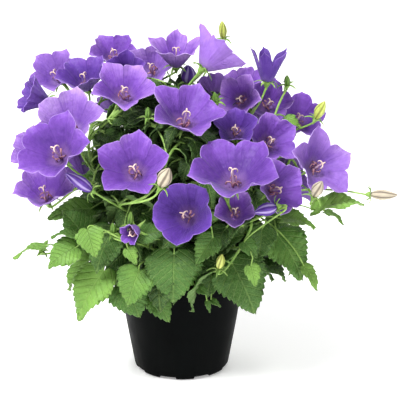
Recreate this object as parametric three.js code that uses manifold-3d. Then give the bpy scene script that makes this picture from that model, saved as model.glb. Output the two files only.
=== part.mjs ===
// Potted Carpathian bellflower.
// A round nursery pot filled with potting soil. Four leafy clumps stand in plain holes in the soil. Open bell
// blooms and closed buds sit on them, each a small gap clear of its own calyx.
// Units are millimetres. +Z is up, the flat underside of the pot is at z = 0,
// and the pot's axis is the Z axis.

import * as THREE from "three";
import { mergeVertices } from "three/addons/utils/BufferGeometryUtils.js";
import Module from "manifold-3d";

const wasm = await Module();
wasm.setup();

// Picture frame
// The plant is laid out on a picture of 400 x 400 pixels that looks at it from the front, along +Y and a
// little downwards. A point of the plant is a pixel and a depth, its Y coordinate.
const PIXEL = 0.875;
const DISTANCE = 1300;
const ELEVATION = THREE.MathUtils.degToRad(16);
const TARGET = new THREE.Vector3(16.6, 0, 153);
const MIDDLE = 200;
const FORWARD = new THREE.Vector3(0, Math.cos(ELEVATION), -Math.sin(ELEVATION));
const RIGHTWARD = new THREE.Vector3(1, 0, 0);
const UPWARD = new THREE.Vector3(0, Math.sin(ELEVATION), Math.cos(ELEVATION));
const EYE = TARGET.clone().addScaledVector(FORWARD, -DISTANCE);
const UP = new THREE.Vector3(0, 0, 1);

// Pot, a common 12 cm nursery pot
const POT_HEIGHT = 90;
const RIM_RADIUS = 59;
const RIM_BAND = 10;
const POT_TOP_RADIUS = 55.8;
const POT_LOW_RADIUS = 42.3;
const POT_LOW_HEIGHT = 4.5;
const FOOT_RADIUS = 39;
const POT_WALL = 1.6;
const POT_FLOOR = 1.8;
const POT_SIDES = 24;
const NOTCHES = 8;
const NOTCH_FIRST = 27.5;
const NOTCH_WIDTH = 16;
const NOTCH_HEIGHT = 3;
const NOTCH_INSIDE = 33.5;

// Soil
const SOIL_TOP = 80;
const SOIL_GAP = 0.3;
const SOIL_SPOKES = 12;
const SOIL_BUMP = 1.4;

// Crowns
const CROWN_RING = 25;
const CROWN_RADIUS = 10;
const CROWN_BOTTOM = 72;
const CROWN_TOP = 86;
const CROWN_SIDES = 8;

// Corolla
const LOBES = 5;
const THROAT = 4.2;
const PETAL = 0.8;
const SPREAD = 0.82;
const RISE = 1.25;
const PLEAT = 1.7;
const TIP_SHARE = 0.8;
const TIP_CURVE = 0.7;
const SHOULDER = 6;
const SEAT_GAP = 0.3;

// Calyx and stems
const OVARY_LENGTH = 6;
const OVARY_RADIUS = 3.3;
const SEPAL_LENGTH = 11;
const SEPAL_ROOT = 2.9;
const STEM_RADIUS = 1.1;
const NECK_RADIUS = 0.55;
const STEM_STEPS = 4;
const LEAF_STEPS = 3;
const STEP_LENGTH = 30;
const CROWN_PULL = 1.5;
const STEM_SIDES = 3;

// Leaves
const LEAF = 0.75;
const STALK_HALF = 0.7;
const STALK_THICKNESS = 1.2;
const TOOTH = 0.07;
const BLADE_ROOM = 3;
// Share of the length, share of the full half width: a heart-shaped base, then an even taper to a point.
const LEAF_OUTLINE = [
  [-0.1, 0.5],
  [0.08, 0.95],
  [0.25, 1.0],
  [0.42, 0.87],
  [0.58, 0.68],
  [0.72, 0.48],
  [0.86, 0.25],
  [1, 0],
];

// Colours
const VIOLET = "#7d4ebe";
const DEEP_VIOLET = "#5a3594";
const PALE_VIOLET = "#a583d2";
const LEAF_GREEN = "#557a35";
const CREAM = "#c9bfa4";
const YELLOW_GREEN = "#bac861";
const POT_BLACK = "#15181a";
const SOIL_BROWN = "#2e241b";

// Basic measures

// The point of the plant at depth y that shows at pixel (px, py).
function seen(px, py, y) {
  const focal = DISTANCE / PIXEL;
  const ray = FORWARD.clone();
  ray.addScaledVector(RIGHTWARD, (px - MIDDLE) / focal);
  ray.addScaledVector(UPWARD, (MIDDLE - py) / focal);
  return EYE.clone().addScaledVector(ray, (y - EYE.y) / ray.y);
}

// A direction given as right, up and towards the viewer in the picture.
function facing([right, up, out]) {
  const way = RIGHTWARD.clone().multiplyScalar(right);
  way.addScaledVector(UPWARD, up);
  way.addScaledVector(FORWARD, -out);
  return way.normalize();
}

// Seeded draws between 0 and 1, the same on every machine.
function dice(seed) {
  let state = seed * 7919 + 17;
  const draw = () => {
    state = (state * 16807) % 2147483647;
    return state / 2147483647;
  };
  draw();
  draw();
  return draw;
}

const between = (low, high, share) => low + (high - low) * share;

const around = (radius, degrees, z) =>
  new THREE.Vector3(
    radius * Math.cos(THREE.MathUtils.degToRad(degrees)),
    radius * Math.sin(THREE.MathUtils.degToRad(degrees)),
    z,
  );

function bezier(p0, p1, p2, p3, t) {
  const u = 1 - t;
  const point = p0.clone().multiplyScalar(u * u * u);
  point.addScaledVector(p1, 3 * u * u * t);
  point.addScaledVector(p2, 3 * u * t * t);
  point.addScaledVector(p3, t * t * t);
  return point;
}

// Closed surfaces and solids

function surface(points, faces) {
  const geometry = new THREE.BufferGeometry();
  const flat = points.flatMap((p) => [p.x, p.y, p.z]);
  geometry.setAttribute("position", new THREE.Float32BufferAttribute(flat, 3));
  geometry.setIndex(faces.flat());
  return geometry;
}

function bodyOf(geometry) {
  geometry.deleteAttribute("normal");
  geometry.deleteAttribute("uv");
  const merged = mergeVertices(geometry, 1e-4);
  return new wasm.Manifold(
    new wasm.Mesh({
      numProp: 3,
      vertProperties: merged.attributes.position.array,
      triVerts: new Uint32Array(merged.index.array),
    }),
  );
}

function geometryOf(body) {
  const mesh = body.getMesh();
  const geometry = new THREE.BufferGeometry();
  geometry.setAttribute("position", new THREE.BufferAttribute(mesh.vertProperties, 3));
  geometry.setIndex(new THREE.BufferAttribute(mesh.triVerts, 1));
  geometry.computeVertexNormals();
  return geometry;
}

const fuse = (bodies) => bodies.reduce((all, body) => all.add(body));

// Rings of points counted anticlockwise about the way they follow. A ring of one point is a tip. Rings of
// different counts are joined by always stepping on along the one that lags behind.
function loft(rings) {
  const faces = [];
  let start = 0;
  for (let k = 0; k + 1 < rings.length; k += 1) {
    const [n, m] = [rings[k].length, rings[k + 1].length];
    const next = start + n;
    let i = 0;
    let j = 0;
    while ((n > 1 && i < n) || (m > 1 && j < m)) {
      if (m === 1 || (n > 1 && (i + 1) * m <= (j + 1) * n)) {
        faces.push([start + i, start + ((i + 1) % n), next + (j % m)]);
        i += 1;
      } else {
        faces.push([start + (i % n), next + ((j + 1) % m), next + j]);
        j += 1;
      }
    }
    start = next;
  }
  for (let i = 1; i < rings[0].length - 1; i += 1) faces.push([0, i + 1, i]);
  const size = rings[rings.length - 1].length;
  for (let i = 1; i < size - 1; i += 1) faces.push([start, start + i, start + i + 1]);
  return surface(rings.flat(), faces);
}

// A thin sheet with the same triangles on both faces and a wall along every open edge. Its thickness is one
// number, or one for each point.
function thicken(points, faces, thickness) {
  const normals = points.map(() => new THREE.Vector3());
  const edges = new Set();
  for (const [a, b, c] of faces) {
    const across = points[b].clone().sub(points[a]);
    const normal = across.cross(points[c].clone().sub(points[a]));
    for (const corner of [a, b, c]) normals[corner].add(normal);
    for (const [from, to] of [[a, b], [b, c], [c, a]]) edges.add(`${from},${to}`);
  }
  normals.forEach((normal) => normal.normalize());
  const half = (i) => (Array.isArray(thickness) ? thickness[i] : thickness) / 2;
  const front = points.map((p, i) => p.clone().addScaledVector(normals[i], half(i)));
  const back = points.map((p, i) => p.clone().addScaledVector(normals[i], -half(i)));
  const n = points.length;
  const all = [...faces];
  for (const [a, b, c] of faces) all.push([n + a, n + c, n + b]);
  for (const edge of edges) {
    const [from, to] = edge.split(",").map(Number);
    if (edges.has(`${to},${from}`)) continue;
    all.push([to, from, n + from]);
    all.push([to, n + from, n + to]);
  }
  return surface([...front, ...back], all);
}

// Rings of a tube along a path, its sides carried on from ring to ring without a twist.
function tubeRings(path, radii, sides) {
  const first = path[1].clone().sub(path[0]).normalize();
  let side = new THREE.Vector3(-first.y, first.x, 0);
  if (side.length() < 0.1) side = new THREE.Vector3(1, 0, 0);
  return path.map((point, k) => {
    const before = path[Math.max(k - 1, 0)];
    const after = path[Math.min(k + 1, path.length - 1)];
    const along = after.clone().sub(before).normalize();
    side = side.clone().addScaledVector(along, -side.dot(along)).normalize();
    const across = along.clone().cross(side);
    const ring = [];
    for (let i = 0; i < sides; i += 1) {
      const turn = (2 * Math.PI * i) / sides;
      const spot = point.clone().addScaledVector(side, radii[k] * Math.cos(turn));
      ring.push(spot.addScaledVector(across, radii[k] * Math.sin(turn)));
    }
    return ring;
  });
}

// Pot

function potBody() {
  const profile = [
    [0, 0],
    [FOOT_RADIUS, 0],
    [FOOT_RADIUS + 2.3, 1.6],
    [POT_LOW_RADIUS, POT_LOW_HEIGHT],
    [POT_TOP_RADIUS - 0.9, POT_HEIGHT - RIM_BAND],
    [RIM_RADIUS - 0.6, POT_HEIGHT - RIM_BAND],
    [RIM_RADIUS, POT_HEIGHT],
    [POT_TOP_RADIUS - 0.4, POT_HEIGHT],
    [POT_TOP_RADIUS - 1.6, POT_HEIGHT - RIM_BAND - 2],
    [POT_LOW_RADIUS - POT_WALL, POT_LOW_HEIGHT],
    [FOOT_RADIUS - 0.6, POT_FLOOR],
    [0, POT_FLOOR],
  ];
  const outline = profile.map(([radius, z]) => new THREE.Vector2(radius, z));
  const turned = new THREE.LatheGeometry(outline, POT_SIDES);
  turned.rotateX(Math.PI / 2);
  let pot = bodyOf(turned);
  for (let k = 0; k < NOTCHES; k += 1) {
    const depth = RIM_RADIUS - NOTCH_INSIDE;
    const cutter = new THREE.BoxGeometry(NOTCH_WIDTH, depth, 2 * NOTCH_HEIGHT);
    cutter.translate(0, -(NOTCH_INSIDE + depth / 2), 0);
    cutter.rotateZ(THREE.MathUtils.degToRad(NOTCH_FIRST + (360 / NOTCHES) * k));
    pot = pot.subtract(bodyOf(cutter));
  }
  return pot;
}

// Inside radius of the pot at a height between its floor and its rim.
function potInside(z) {
  const share = (z - POT_LOW_HEIGHT) / (POT_HEIGHT - RIM_BAND - 2 - POT_LOW_HEIGHT);
  return between(POT_LOW_RADIUS - POT_WALL, POT_TOP_RADIUS - 1.6, share);
}

// Soil

function soilBody() {
  const draw = dice(3);
  const low = POT_FLOOR + SOIL_GAP;
  const ringAt = (radius, z, bump) => {
    const ring = [];
    for (let i = 0; i < SOIL_SPOKES; i += 1) {
      ring.push(around(radius, (360 / SOIL_SPOKES) * i, z + bump * (draw() - 0.5)));
    }
    return ring;
  };
  const edge = potInside(SOIL_TOP - 3) - SOIL_GAP - 0.5;
  const rings = [
    ringAt(FOOT_RADIUS - 2.2, low, 0),
    ringAt(potInside(POT_LOW_HEIGHT) - 2 * SOIL_GAP - 0.4, POT_LOW_HEIGHT + 1, 0),
    ringAt(edge, SOIL_TOP - 3, 0),
    ringAt(edge - 5, SOIL_TOP - 0.6, 2 * SOIL_BUMP),
    ringAt(edge * 0.62, SOIL_TOP, 2 * SOIL_BUMP),
    ringAt(edge * 0.25, SOIL_TOP, SOIL_BUMP),
    [new THREE.Vector3(0, 0, SOIL_TOP)],
  ];
  let soil = bodyOf(loft(rings));
  for (const clump of CLUMPS) soil = soil.subtract(bodyOf(crownShape(clump, SOIL_GAP)));
  return soil;
}

// Clumps
// Each clump fills its own quarter around the pot's axis. Its heading is the middle of that quarter.
const CLUMPS = [
  { name: "clump_front", heading: -90 },
  { name: "clump_right", heading: 0 },
  { name: "clump_back", heading: 90 },
  { name: "clump_left", heading: 180 },
];

function crownShape(clump, swell) {
  const middle = around(CROWN_RING, clump.heading, 0);
  const radius = CROWN_RADIUS + swell / Math.cos(Math.PI / CROWN_SIDES);
  const ringAt = (share, z) => {
    const ring = [];
    for (let i = 0; i < CROWN_SIDES; i += 1) {
      ring.push(around(radius * share, (360 / CROWN_SIDES) * i, z).add(middle));
    }
    return ring;
  };
  return loft([ringAt(1, CROWN_BOTTOM - swell), ringAt(1, CROWN_TOP - 2.5), ringAt(0.65, CROWN_TOP + swell)]);
}

function clumpAt(point) {
  const heading = THREE.MathUtils.radToDeg(Math.atan2(point.y, point.x));
  const away = (clump) => Math.abs(((heading - clump.heading + 540) % 360) - 180);
  return CLUMPS.reduce((best, clump) => (away(clump) < away(best) ? clump : best));
}

// Keeps a point on its own side of the two planes that bound the clump's quarter.
function insideQuarter(clump, point, margin) {
  const kept = point.clone();
  for (const side of [-1, 1]) {
    const inward = around(1, clump.heading + side * 45 - side * 90, 0);
    const depth = kept.x * inward.x + kept.y * inward.y;
    if (depth < margin) kept.addScaledVector(inward, margin - depth);
  }
  return kept;
}

const outsideQuarter = (clump, point, margin) => insideQuarter(clump, point, margin).distanceTo(point) > 1e-6;

// Blooms
// Pixel of the middle of the mouth, its depth, the way it looks (right, up, towards the viewer), the width
// across the lobe tips, the depth of the cup, the clockwise turn of the first lobe, the share of the cup's
// length at which the lobes part, the tint, and true for a bloom with more points and a style.
const BLOOM_ROWS = [
  ["01", [48, 142], -87, [-9, 13, 20.6], 68, 26, 4, 0.66, VIOLET, true],
  ["02", [42, 180], -59, [-2, 16, 16], 54, 24, 30, 0.68, VIOLET, true],
  ["03", [66, 112], -46, [-3, 15, 20], 62, 25, 4, 0.68, PALE_VIOLET, true],
  ["04", [80, 66], 2, [-5, 18, 15], 50, 24, 20, 0.64, DEEP_VIOLET, true],
  ["05", [50, 66], 32, [-8, 12, 18], 50, 22, 8, 0.64, PALE_VIOLET, false],
  ["06", [21, 92], 8, [-19, 7, 8], 36, 24, 0, 0.64, DEEP_VIOLET, false],
  ["07", [113, 44], 45, [0, 16, 16], 46, 20, 36, 0.64, VIOLET, false],
  ["08", [124, 80], -42, [1, 16, 20], 57, 24, 36, 0.64, VIOLET, true],
  ["09", [124, 66], -10, [-3, 8, 20], 36, 18, 0, 0.64, DEEP_VIOLET, false],
  ["10", [150, 60], 22, [-2, 12, 20], 46, 20, 12, 0.64, PALE_VIOLET, false],
  ["11", [176, 37], 2, [0, 22, 14], 52, 27, 2, 0.5, VIOLET, true],
  ["13", [226, 43], -13, [20, 22, -4], 55, 29, 14, 0.64, PALE_VIOLET, true],
  ["14", [213, 80], 38, [-3, 15, -10], 34, 18, 0, 0.64, PALE_VIOLET, false],
  ["15", [236, 95], -11, [-8, 6, 22], 43, 20, 20, 0.64, VIOLET, false],
  ["16", [271, 43], 4, [3, 30, 8], 36, 33, 12, 0.3, DEEP_VIOLET, true],
  ["17", [246, 74], 43, [0, 12, 10], 38, 18, 0, 0.64, VIOLET, false],
  ["18", [272, 97], 11, [5, 8, 18], 44, 20, 24, 0.64, VIOLET, false],
  ["19", [303, 112], 36, [5, 10, 18], 50, 20, 16, 0.64, VIOLET, false],
  ["20", [276, 135], -30, [8, 8, 20], 50, 22, 0, 0.64, VIOLET, true],
  ["21", [328, 160], -36, [12, 8, 19], 65, 24, 12, 0.6, PALE_VIOLET, true],
  ["22", [233, 160], -112, [-1, 20, 17], 78, 27, 36, 0.68, VIOLET, true],
  ["23", [286, 186], -66, [13, 4, 18], 50, 22, -10, 0.7, VIOLET, true],
  ["24", [235, 207], -86, [0, 8, 20], 35, 18, 36, 0.72, VIOLET, true],
  ["25", [181, 211], -110, [-7, 6, 22], 55, 23, 36, 0.8, DEEP_VIOLET, true],
  ["26", [131, 161], -85, [-3, 11, 22], 63, 24, 3, 0.7, VIOLET, true],
  ["27", [189, 103], -66, [5, 18, 18], 66, 26, 36, 0.66, VIOLET, true],
  ["28", [236, 122], -45, [0, 10, 15], 40, 18, 0, 0.64, DEEP_VIOLET, false],
  ["29", [126, 237], -98, [-10, -8, 16], 19, 15, 10, 0.5, VIOLET, false],
  ["30", [22, 145], -26, [-12, 5, 12], 40, 20, 0, 0.64, PALE_VIOLET, false],
];

const BLOOMS = BLOOM_ROWS.map(([name, at, y, looks, width, depth, turn, cut, tint, fine]) => ({
  name: `bloom_${name}`,
  at,
  y,
  looks,
  width,
  depth,
  turn,
  cut,
  tint,
  fine,
}));

// Blooms of the far side, which the picture doesn't show, set out by rule in two tiers.
const REAR_LOW = { count: 4, from: 26, to: 154, radius: 116, z: 172, width: 56, rise: 0.55 };
const REAR_HIGH = { count: 3, from: 53, to: 127, radius: 100, z: 226, width: 52, rise: 1.3 };

function rearBlooms() {
  const list = [];
  for (const tier of [REAR_LOW, REAR_HIGH]) {
    for (let k = 0; k < tier.count; k += 1) {
      const draw = dice(60 + list.length);
      const heading = between(tier.from, tier.to, k / (tier.count - 1)) + 6 * (draw() - 0.5);
      const mouth = around(tier.radius + 8 * (draw() - 0.5), heading, tier.z + 14 * (draw() - 0.5));
      const axis = around(1, heading, tier.rise).normalize();
      const width = tier.width + 8 * (draw() - 0.5);
      const name = `bloom_rear_${list.length + 1}`;
      list.push({ name, mouth, axis, width, depth: 0.4 * width, turn: 72 * draw() });
    }
  }
  return list;
}

// Works out each bloom's axis, its foot and the two directions across its mouth.
function placed(bloom, index) {
  const axis = bloom.axis || facing(bloom.looks);
  const mouth = bloom.mouth || seen(bloom.at[0], bloom.at[1], bloom.y);
  const foot = mouth.clone().addScaledVector(axis, -bloom.depth);
  const top = UP.clone().addScaledVector(axis, -axis.z).normalize();
  const draw = dice(200 + index);
  const reach = [];
  const lift = [];
  for (let i = 0; i < LOBES; i += 1) {
    reach.push(0.1 * (draw() - 0.5));
    lift.push(2.4 * (draw() - 0.5));
  }
  return { cut: 0.64, tint: VIOLET, ...bloom, axis, foot, top, right: top.clone().cross(axis), reach, lift };
}

const ALL_BLOOMS = [...BLOOMS, ...rearBlooms()].map(placed);

// A point of the corolla at a clockwise angle from the top, at a share of the way from foot to edge.
function petalPoint(bloom, degrees, share) {
  const turns = (((degrees - bloom.turn) % 360) + 360) % 360;
  const lobe = Math.round(turns / 72);
  const phase = Math.abs(turns - 72 * lobe) / 36;
  const drop = TIP_SHARE * phase ** TIP_CURVE + (1 - TIP_SHARE) * phase ** SHOULDER;
  const edge = 1 - (1 - bloom.cut) * drop;
  const s = share * edge;
  const own = (1 - phase * phase) * s * s;
  const radius = between(THROAT, bloom.width / 2, s ** SPREAD) * (1 + bloom.reach[lobe % LOBES] * own);
  const fold = PLEAT * Math.cos(Math.PI * phase) * s ** 1.5;
  const height = bloom.depth * s * (RISE - (RISE - 1) * s) - fold + bloom.lift[lobe % LOBES] * own;
  const angle = THREE.MathUtils.degToRad(degrees);
  const point = bloom.foot.clone().addScaledVector(bloom.axis, height);
  point.addScaledVector(bloom.top, radius * Math.cos(angle));
  return point.addScaledVector(bloom.right, radius * Math.sin(angle));
}

// Points around each ring, and the ring's share of the way to the edge.
const LARGE_RINGS = [[5, 0], [10, 0.36], [20, 0.72], [20, 1]];
const FINE_RINGS = [[5, 0], [10, 0.45], [20, 1]];
const PLAIN_RINGS = [[5, 0], [10, 0.5], [10, 1]];
const LARGE_WIDTH = 58;

function corollaSheet(bloom) {
  const fineRings = bloom.width > LARGE_WIDTH ? LARGE_RINGS : FINE_RINGS;
  const rings = bloom.fine ? fineRings : PLAIN_RINGS;
  const points = [];
  const faces = [[0, 2, 1], [0, 3, 2], [0, 4, 3]];
  let inner = 0;
  rings.forEach(([count, share], k) => {
    const start = points.length;
    for (let i = 0; i < count; i += 1) points.push(petalPoint(bloom, bloom.turn + (360 / count) * i, share));
    if (k > 0) {
      const before = rings[k - 1][0];
      for (let i = 0; i < before; i += 1) {
        const j = (i + 1) % before;
        if (count === before) {
          faces.push([inner + i, inner + j, start + i]);
          faces.push([inner + j, start + j, start + i]);
        } else {
          const mid = 2 * i + 1;
          faces.push([inner + i, start + mid, start + 2 * i]);
          faces.push([inner + i, inner + j, start + mid]);
          faces.push([inner + j, start + ((mid + 1) % count), start + mid]);
        }
      }
    }
    inner = start;
  });
  return { points, faces };
}

// The style rises from the foot and parts into three stigma lobes, which are every other point of a ring.
const PISTIL_RINGS = [
  [0, 1.2, 1.2],
  [0.5, 0.8, 0.8],
  [0.6, 4.6, 0.9],
];

function pistil(bloom) {
  const at = (up, out, degrees) => {
    const angle = THREE.MathUtils.degToRad(degrees);
    const point = bloom.foot.clone().addScaledVector(bloom.axis, up * bloom.depth);
    point.addScaledVector(bloom.top, out * Math.cos(angle));
    return point.addScaledVector(bloom.right, out * Math.sin(angle));
  };
  const rings = PISTIL_RINGS.map(([up, lobe, hollow]) => {
    const ring = [];
    for (let i = 0; i < 6; i += 1) ring.push(at(up, i % 2 ? hollow : lobe, bloom.turn - 60 * i));
    return ring;
  });
  return bodyOf(loft([...rings, [at(0.64, 0, 0)]]));
}

function bloomBody(bloom) {
  const { points, faces } = corollaSheet(bloom);
  const cup = bodyOf(thicken(points, faces, PETAL));
  return bloom.fine ? cup.add(pistil(bloom)) : cup;
}

// Buds
// Pixels of the foot and of the tip, the depth, the greatest diameter and the colour. A bud with no colour
// of its own is green and is fused into its clump.
const BUDS = [
  { name: "bud_violet_1", foot: [91, 190], tip: [65, 173], y: -85, across: 12, tint: DEEP_VIOLET },
  { name: "bud_violet_2", foot: [276, 207], tip: [254, 213], y: -89, across: 12, tint: DEEP_VIOLET },
  { name: "bud_violet_3", foot: [188, 82], tip: [188, 65], y: 17, across: 15, tint: DEEP_VIOLET },
  { name: "bud_cream_1", foot: [161, 186], tip: [169, 168], y: -112, across: 13, tint: CREAM },
  { name: "bud_cream_2", foot: [371, 194.5], tip: [398, 195], y: -30, across: 10, tint: CREAM },
  { name: "bud_cream_3", foot: [314, 196], tip: [322, 181], y: -63, across: 11, tint: CREAM },
  { name: "bud_yellow_1", foot: [223, 38], tip: [222, 21], y: 42, across: 8, tint: YELLOW_GREEN },
  { name: "bud_yellow_2", foot: [219, 268], tip: [222, 254], y: -92, across: 8, tint: YELLOW_GREEN },
  { name: "bud_yellow_3", foot: [316, 118], tip: [325, 101], y: -12, across: 10, tint: YELLOW_GREEN },
  { name: "bud_small_1", foot: [287, 84], tip: [287, 73], y: 10, across: 6 },
  { name: "bud_small_2", foot: [148, 116], tip: [148, 105], y: -50, across: 6 },
  { name: "bud_small_3", foot: [113, 231], tip: [113, 221], y: -78, across: 6 },
  { name: "bud_small_4", foot: [216, 101], tip: [214, 90], y: -34, across: 6 },
  { name: "bud_small_5", foot: [42, 250], tip: [49, 238], y: -58, across: 5 },
];

function placedBud(bud) {
  const foot = seen(bud.foot[0], bud.foot[1], bud.y);
  const tip = seen(bud.tip[0], bud.tip[1], bud.y - 4);
  const axis = tip.clone().sub(foot).normalize();
  return { ...bud, foot, tip, axis, turn: 0 };
}

const ALL_BUDS = BUDS.map(placedBud);

// Share of the bud's length and of its radius, from foot to tip.
const BUD_PROFILE = [[0, 0.42], [0.35, 1], [0.72, 0.72]];

// A closed bud with five raised folds.
function budShape(bud) {
  const side = Math.abs(bud.axis.z) > 0.9 ? RIGHTWARD : UP;
  const across = side.clone().addScaledVector(bud.axis, -side.dot(bud.axis)).normalize();
  const other = bud.axis.clone().cross(across);
  const rings = BUD_PROFILE.map(([share, swell]) => {
    const ring = [];
    for (let i = 0; i < 2 * LOBES; i += 1) {
      const angle = (Math.PI / LOBES) * i;
      const radius = (bud.across / 2) * swell * (i % 2 ? 0.8 : 1);
      const point = bud.foot.clone().lerp(bud.tip, share);
      point.addScaledVector(across, radius * Math.cos(angle));
      ring.push(point.addScaledVector(other, radius * Math.sin(angle)));
    }
    return ring;
  });
  return loft([...rings, [bud.tip]]);
}

// Room around the plant

// Radius of a bloom's cup at a height above its foot.
function cupRadius(bloom, height) {
  const level = Math.min(Math.max(height / bloom.depth, 0), 1);
  const s = (RISE - Math.sqrt(RISE * RISE - 4 * (RISE - 1) * level)) / (2 * (RISE - 1));
  return between(THROAT, bloom.width / 2, s ** SPREAD);
}

// How far a point is outside a bloom, taken as a solid cup.
function roomAtBloom(bloom, point) {
  const from = point.clone().sub(bloom.foot);
  const height = from.dot(bloom.axis);
  const radius = from.addScaledVector(bloom.axis, -height).length();
  const beyond = radius - cupRadius(bloom, height);
  if (height < 0) return Math.hypot(Math.max(beyond, 0), height);
  if (height > bloom.depth) return Math.hypot(Math.max(beyond, 0), height - bloom.depth);
  return 0.7 * beyond;
}

// How far a point is from the pot and the soil. A stem starts inside its crown,
// so the soil is left out there.
function roomAtPot(point) {
  const radius = Math.hypot(point.x, point.y);
  if (point.z > POT_HEIGHT) return Math.hypot(point.z - POT_HEIGHT, Math.max(radius - RIM_RADIUS, 0));
  if (radius > RIM_RADIUS) return radius - RIM_RADIUS;
  return radius < potInside(SOIL_TOP) - 4 ? point.z - SOIL_TOP - 2 : -1;
}

function room(point, own) {
  let least = roomAtPot(point);
  for (const bloom of ALL_BLOOMS) if (bloom !== own) least = Math.min(least, roomAtBloom(bloom, point));
  for (const bud of ALL_BUDS) {
    if (bud === own || !bud.tint) continue;
    least = Math.min(least, bud.foot.clone().lerp(bud.tip, 0.45).distanceTo(point) - 0.7 * bud.across - 2);
  }
  return least;
}

// Stems

// Blades that are in place, as triangles, and stems that are in place, as lines.
const blades = [];
const stretches = [];

function meets(from, to, triangle) {
  const way = to.clone().sub(from);
  const ray = new THREE.Ray(from, way.clone().normalize());
  const hit = ray.intersectTriangle(...triangle, false, new THREE.Vector3());
  return hit !== null && hit.distanceTo(from) <= way.length();
}

// How many blades a path goes through, its own leaf left out.
function crossings(path, ownLeaf) {
  let count = 0;
  for (const blade of blades) {
    if (blade.leaf === ownLeaf) continue;
    for (let k = 0; k + 1 < path.length; k += 1) {
      if (path[k].distanceTo(blade.middle) > blade.reach + path[k].distanceTo(path[k + 1])) continue;
      if (blade.triangles.some((triangle) => meets(path[k], path[k + 1], triangle))) count += 1;
    }
  }
  return count;
}

// The least room along a path, its first and last few millimetres left out.
function roomAlong(path, own) {
  let least = Infinity;
  for (let k = 0; k + 1 < path.length; k += 1) {
    const checks = Math.ceil(path[k].distanceTo(path[k + 1]) / CHECK_LENGTH);
    for (let i = k ? 0 : 1; i < checks; i += 1) {
      const point = path[k].clone().lerp(path[k + 1], i / checks);
      least = Math.min(least, room(point, own) + (point.distanceTo(path[0]) < 2 * CHECK_LENGTH ? ROOM : 0));
    }
  }
  return least;
}

// How many other stems a path comes close to, away from its own start.
function neighbours(path) {
  let count = 0;
  for (const stretch of stretches) {
    const closest = new THREE.Vector3();
    const reach = path[0].distanceTo(stretch.start) + path[0].distanceTo(stretch.end);
    if (reach > 2 * MOST_LENGTH) continue;
    let touched = false;
    for (let k = 0; k + 1 < path.length; k += 1) {
      const checks = Math.ceil(path[k].distanceTo(path[k + 1]) / STEM_CLEAR);
      for (let i = 0; i < checks && !touched; i += 1) {
        const point = path[k].clone().lerp(path[k + 1], i / checks);
        if (point.distanceTo(path[0]) < 3 * STEM_CLEAR) continue;
        stretch.closestPointToPoint(point, true, closest);
        touched = closest.distanceTo(point) < STEM_CLEAR;
      }
    }
    if (touched) count += 1;
  }
  return count;
}

// The path of a stem from a joint to an end, leaving and arriving along given ways. The first bend that
// leaves room to every bloom and goes through no blade is taken, or else the best one.
const BENDS = [0, 8, 16, 26, 38];
const BEND_WAYS = 12;
const ROOM = 2.4;
const CHECK_LENGTH = 5;
const STEM_CLEAR = 2.4;
const MOST_LENGTH = 200;
const FAIR_SCORE = 1.6;
const STARTS = 4;

function stemPath(clump, joint, leave, end, arrive, own) {
  const length = joint.distanceTo(end);
  const most = own.rows && end.z > POT_HEIGHT ? LEAF_STEPS : STEM_STEPS;
  const steps = Math.min(Math.max(Math.round(length / STEP_LENGTH), 1), most);
  let best = null;
  for (const bend of BENDS) {
    for (let way = 0; way < (bend ? BEND_WAYS : 1); way += 1) {
      const rise = way % 2 ? 0.7 * bend : 0;
      const shift = around(bend, (360 / BEND_WAYS) * way, rise);
      const p1 = joint.clone().addScaledVector(leave, 0.4 * length).addScaledVector(shift, 0.6);
      const p2 = end.clone().addScaledVector(arrive, -0.32 * length).add(shift);
      const q1 = insideQuarter(clump, p1, 2);
      const q2 = insideQuarter(clump, p2, 2);
      const path = [];
      for (let k = 0; k <= steps; k += 1) path.push(bezier(joint, q1, q2, end, k / steps));
      const least = Math.min(ROOM, roomAlong(path, own));
      if (best && least <= best.score) continue;
      const score = least - 1.5 * crossings(path, own) - 0.8 * neighbours(path);
      if (!best || score > best.score) best = { path, score };
      if (score >= ROOM) return best;
    }
  }
  return best;
}

// A stem branches from the nearest free joint of its clump's stems, or comes out of the crown if that is
// nearly as near. Where the way from there has too little room, the others are tried in their order. A joint
// carries one branch. A stem's own joints are then free for later stems.
function grownStem(clump, joints, end, arrive, own) {
  const root = { spot: rootSpot(clump, end), leave: UP };
  const away = (joint) => joint.spot.distanceTo(end) * (joint === root ? 1 : CROWN_PULL);
  const starts = [root, ...joints].sort((a, b) => away(a) - away(b)).slice(0, STARTS);
  let found = null;
  for (const start of starts) {
    const tried = { start, ...stemPath(clump, start.spot, start.leave, end, arrive, own) };
    if (!found || tried.score > found.score) found = tried;
    if (found.score >= FAIR_SCORE) break;
  }
  if (own.fill && found.score < FAIR_SCORE) return null;
  if (found.start !== root) joints.splice(joints.indexOf(found.start), 1);
  const { path } = found;
  for (let k = 0; k + 1 < path.length; k += 1) {
    if (k > 0 && !own.rows) {
      const leave = path[k + 1].clone().sub(path[k - 1]).normalize();
      joints.push({ spot: path[k], leave });
    }
    stretches.push(new THREE.Line3(path[k], path[k + 1]));
  }
  return path;
}

// Where a stem leaves its crown: on the side that it grows to, so that stems fan out and seldom cross.
function rootSpot(clump, end) {
  const middle = around(CROWN_RING, clump.heading, CROWN_TOP - 2);
  const way = end.clone().sub(middle);
  const out = Math.hypot(way.x, way.y);
  const lean = Math.atan2(out, Math.max(way.z, 0.3 * out)) / (Math.PI / 2);
  return middle.addScaledVector(way.setZ(0).normalize(), CROWN_RADIUS * 0.75 * lean);
}

// Radii along a stem: slim where it starts inside another stem or the crown, then tapering to its end.
function stemRadii(count, radius) {
  const radii = [NECK_RADIUS];
  for (let k = 1; k < count; k += 1) radii.push(radius * between(1.25, 0.85, k / (count - 1)));
  return radii;
}

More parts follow.
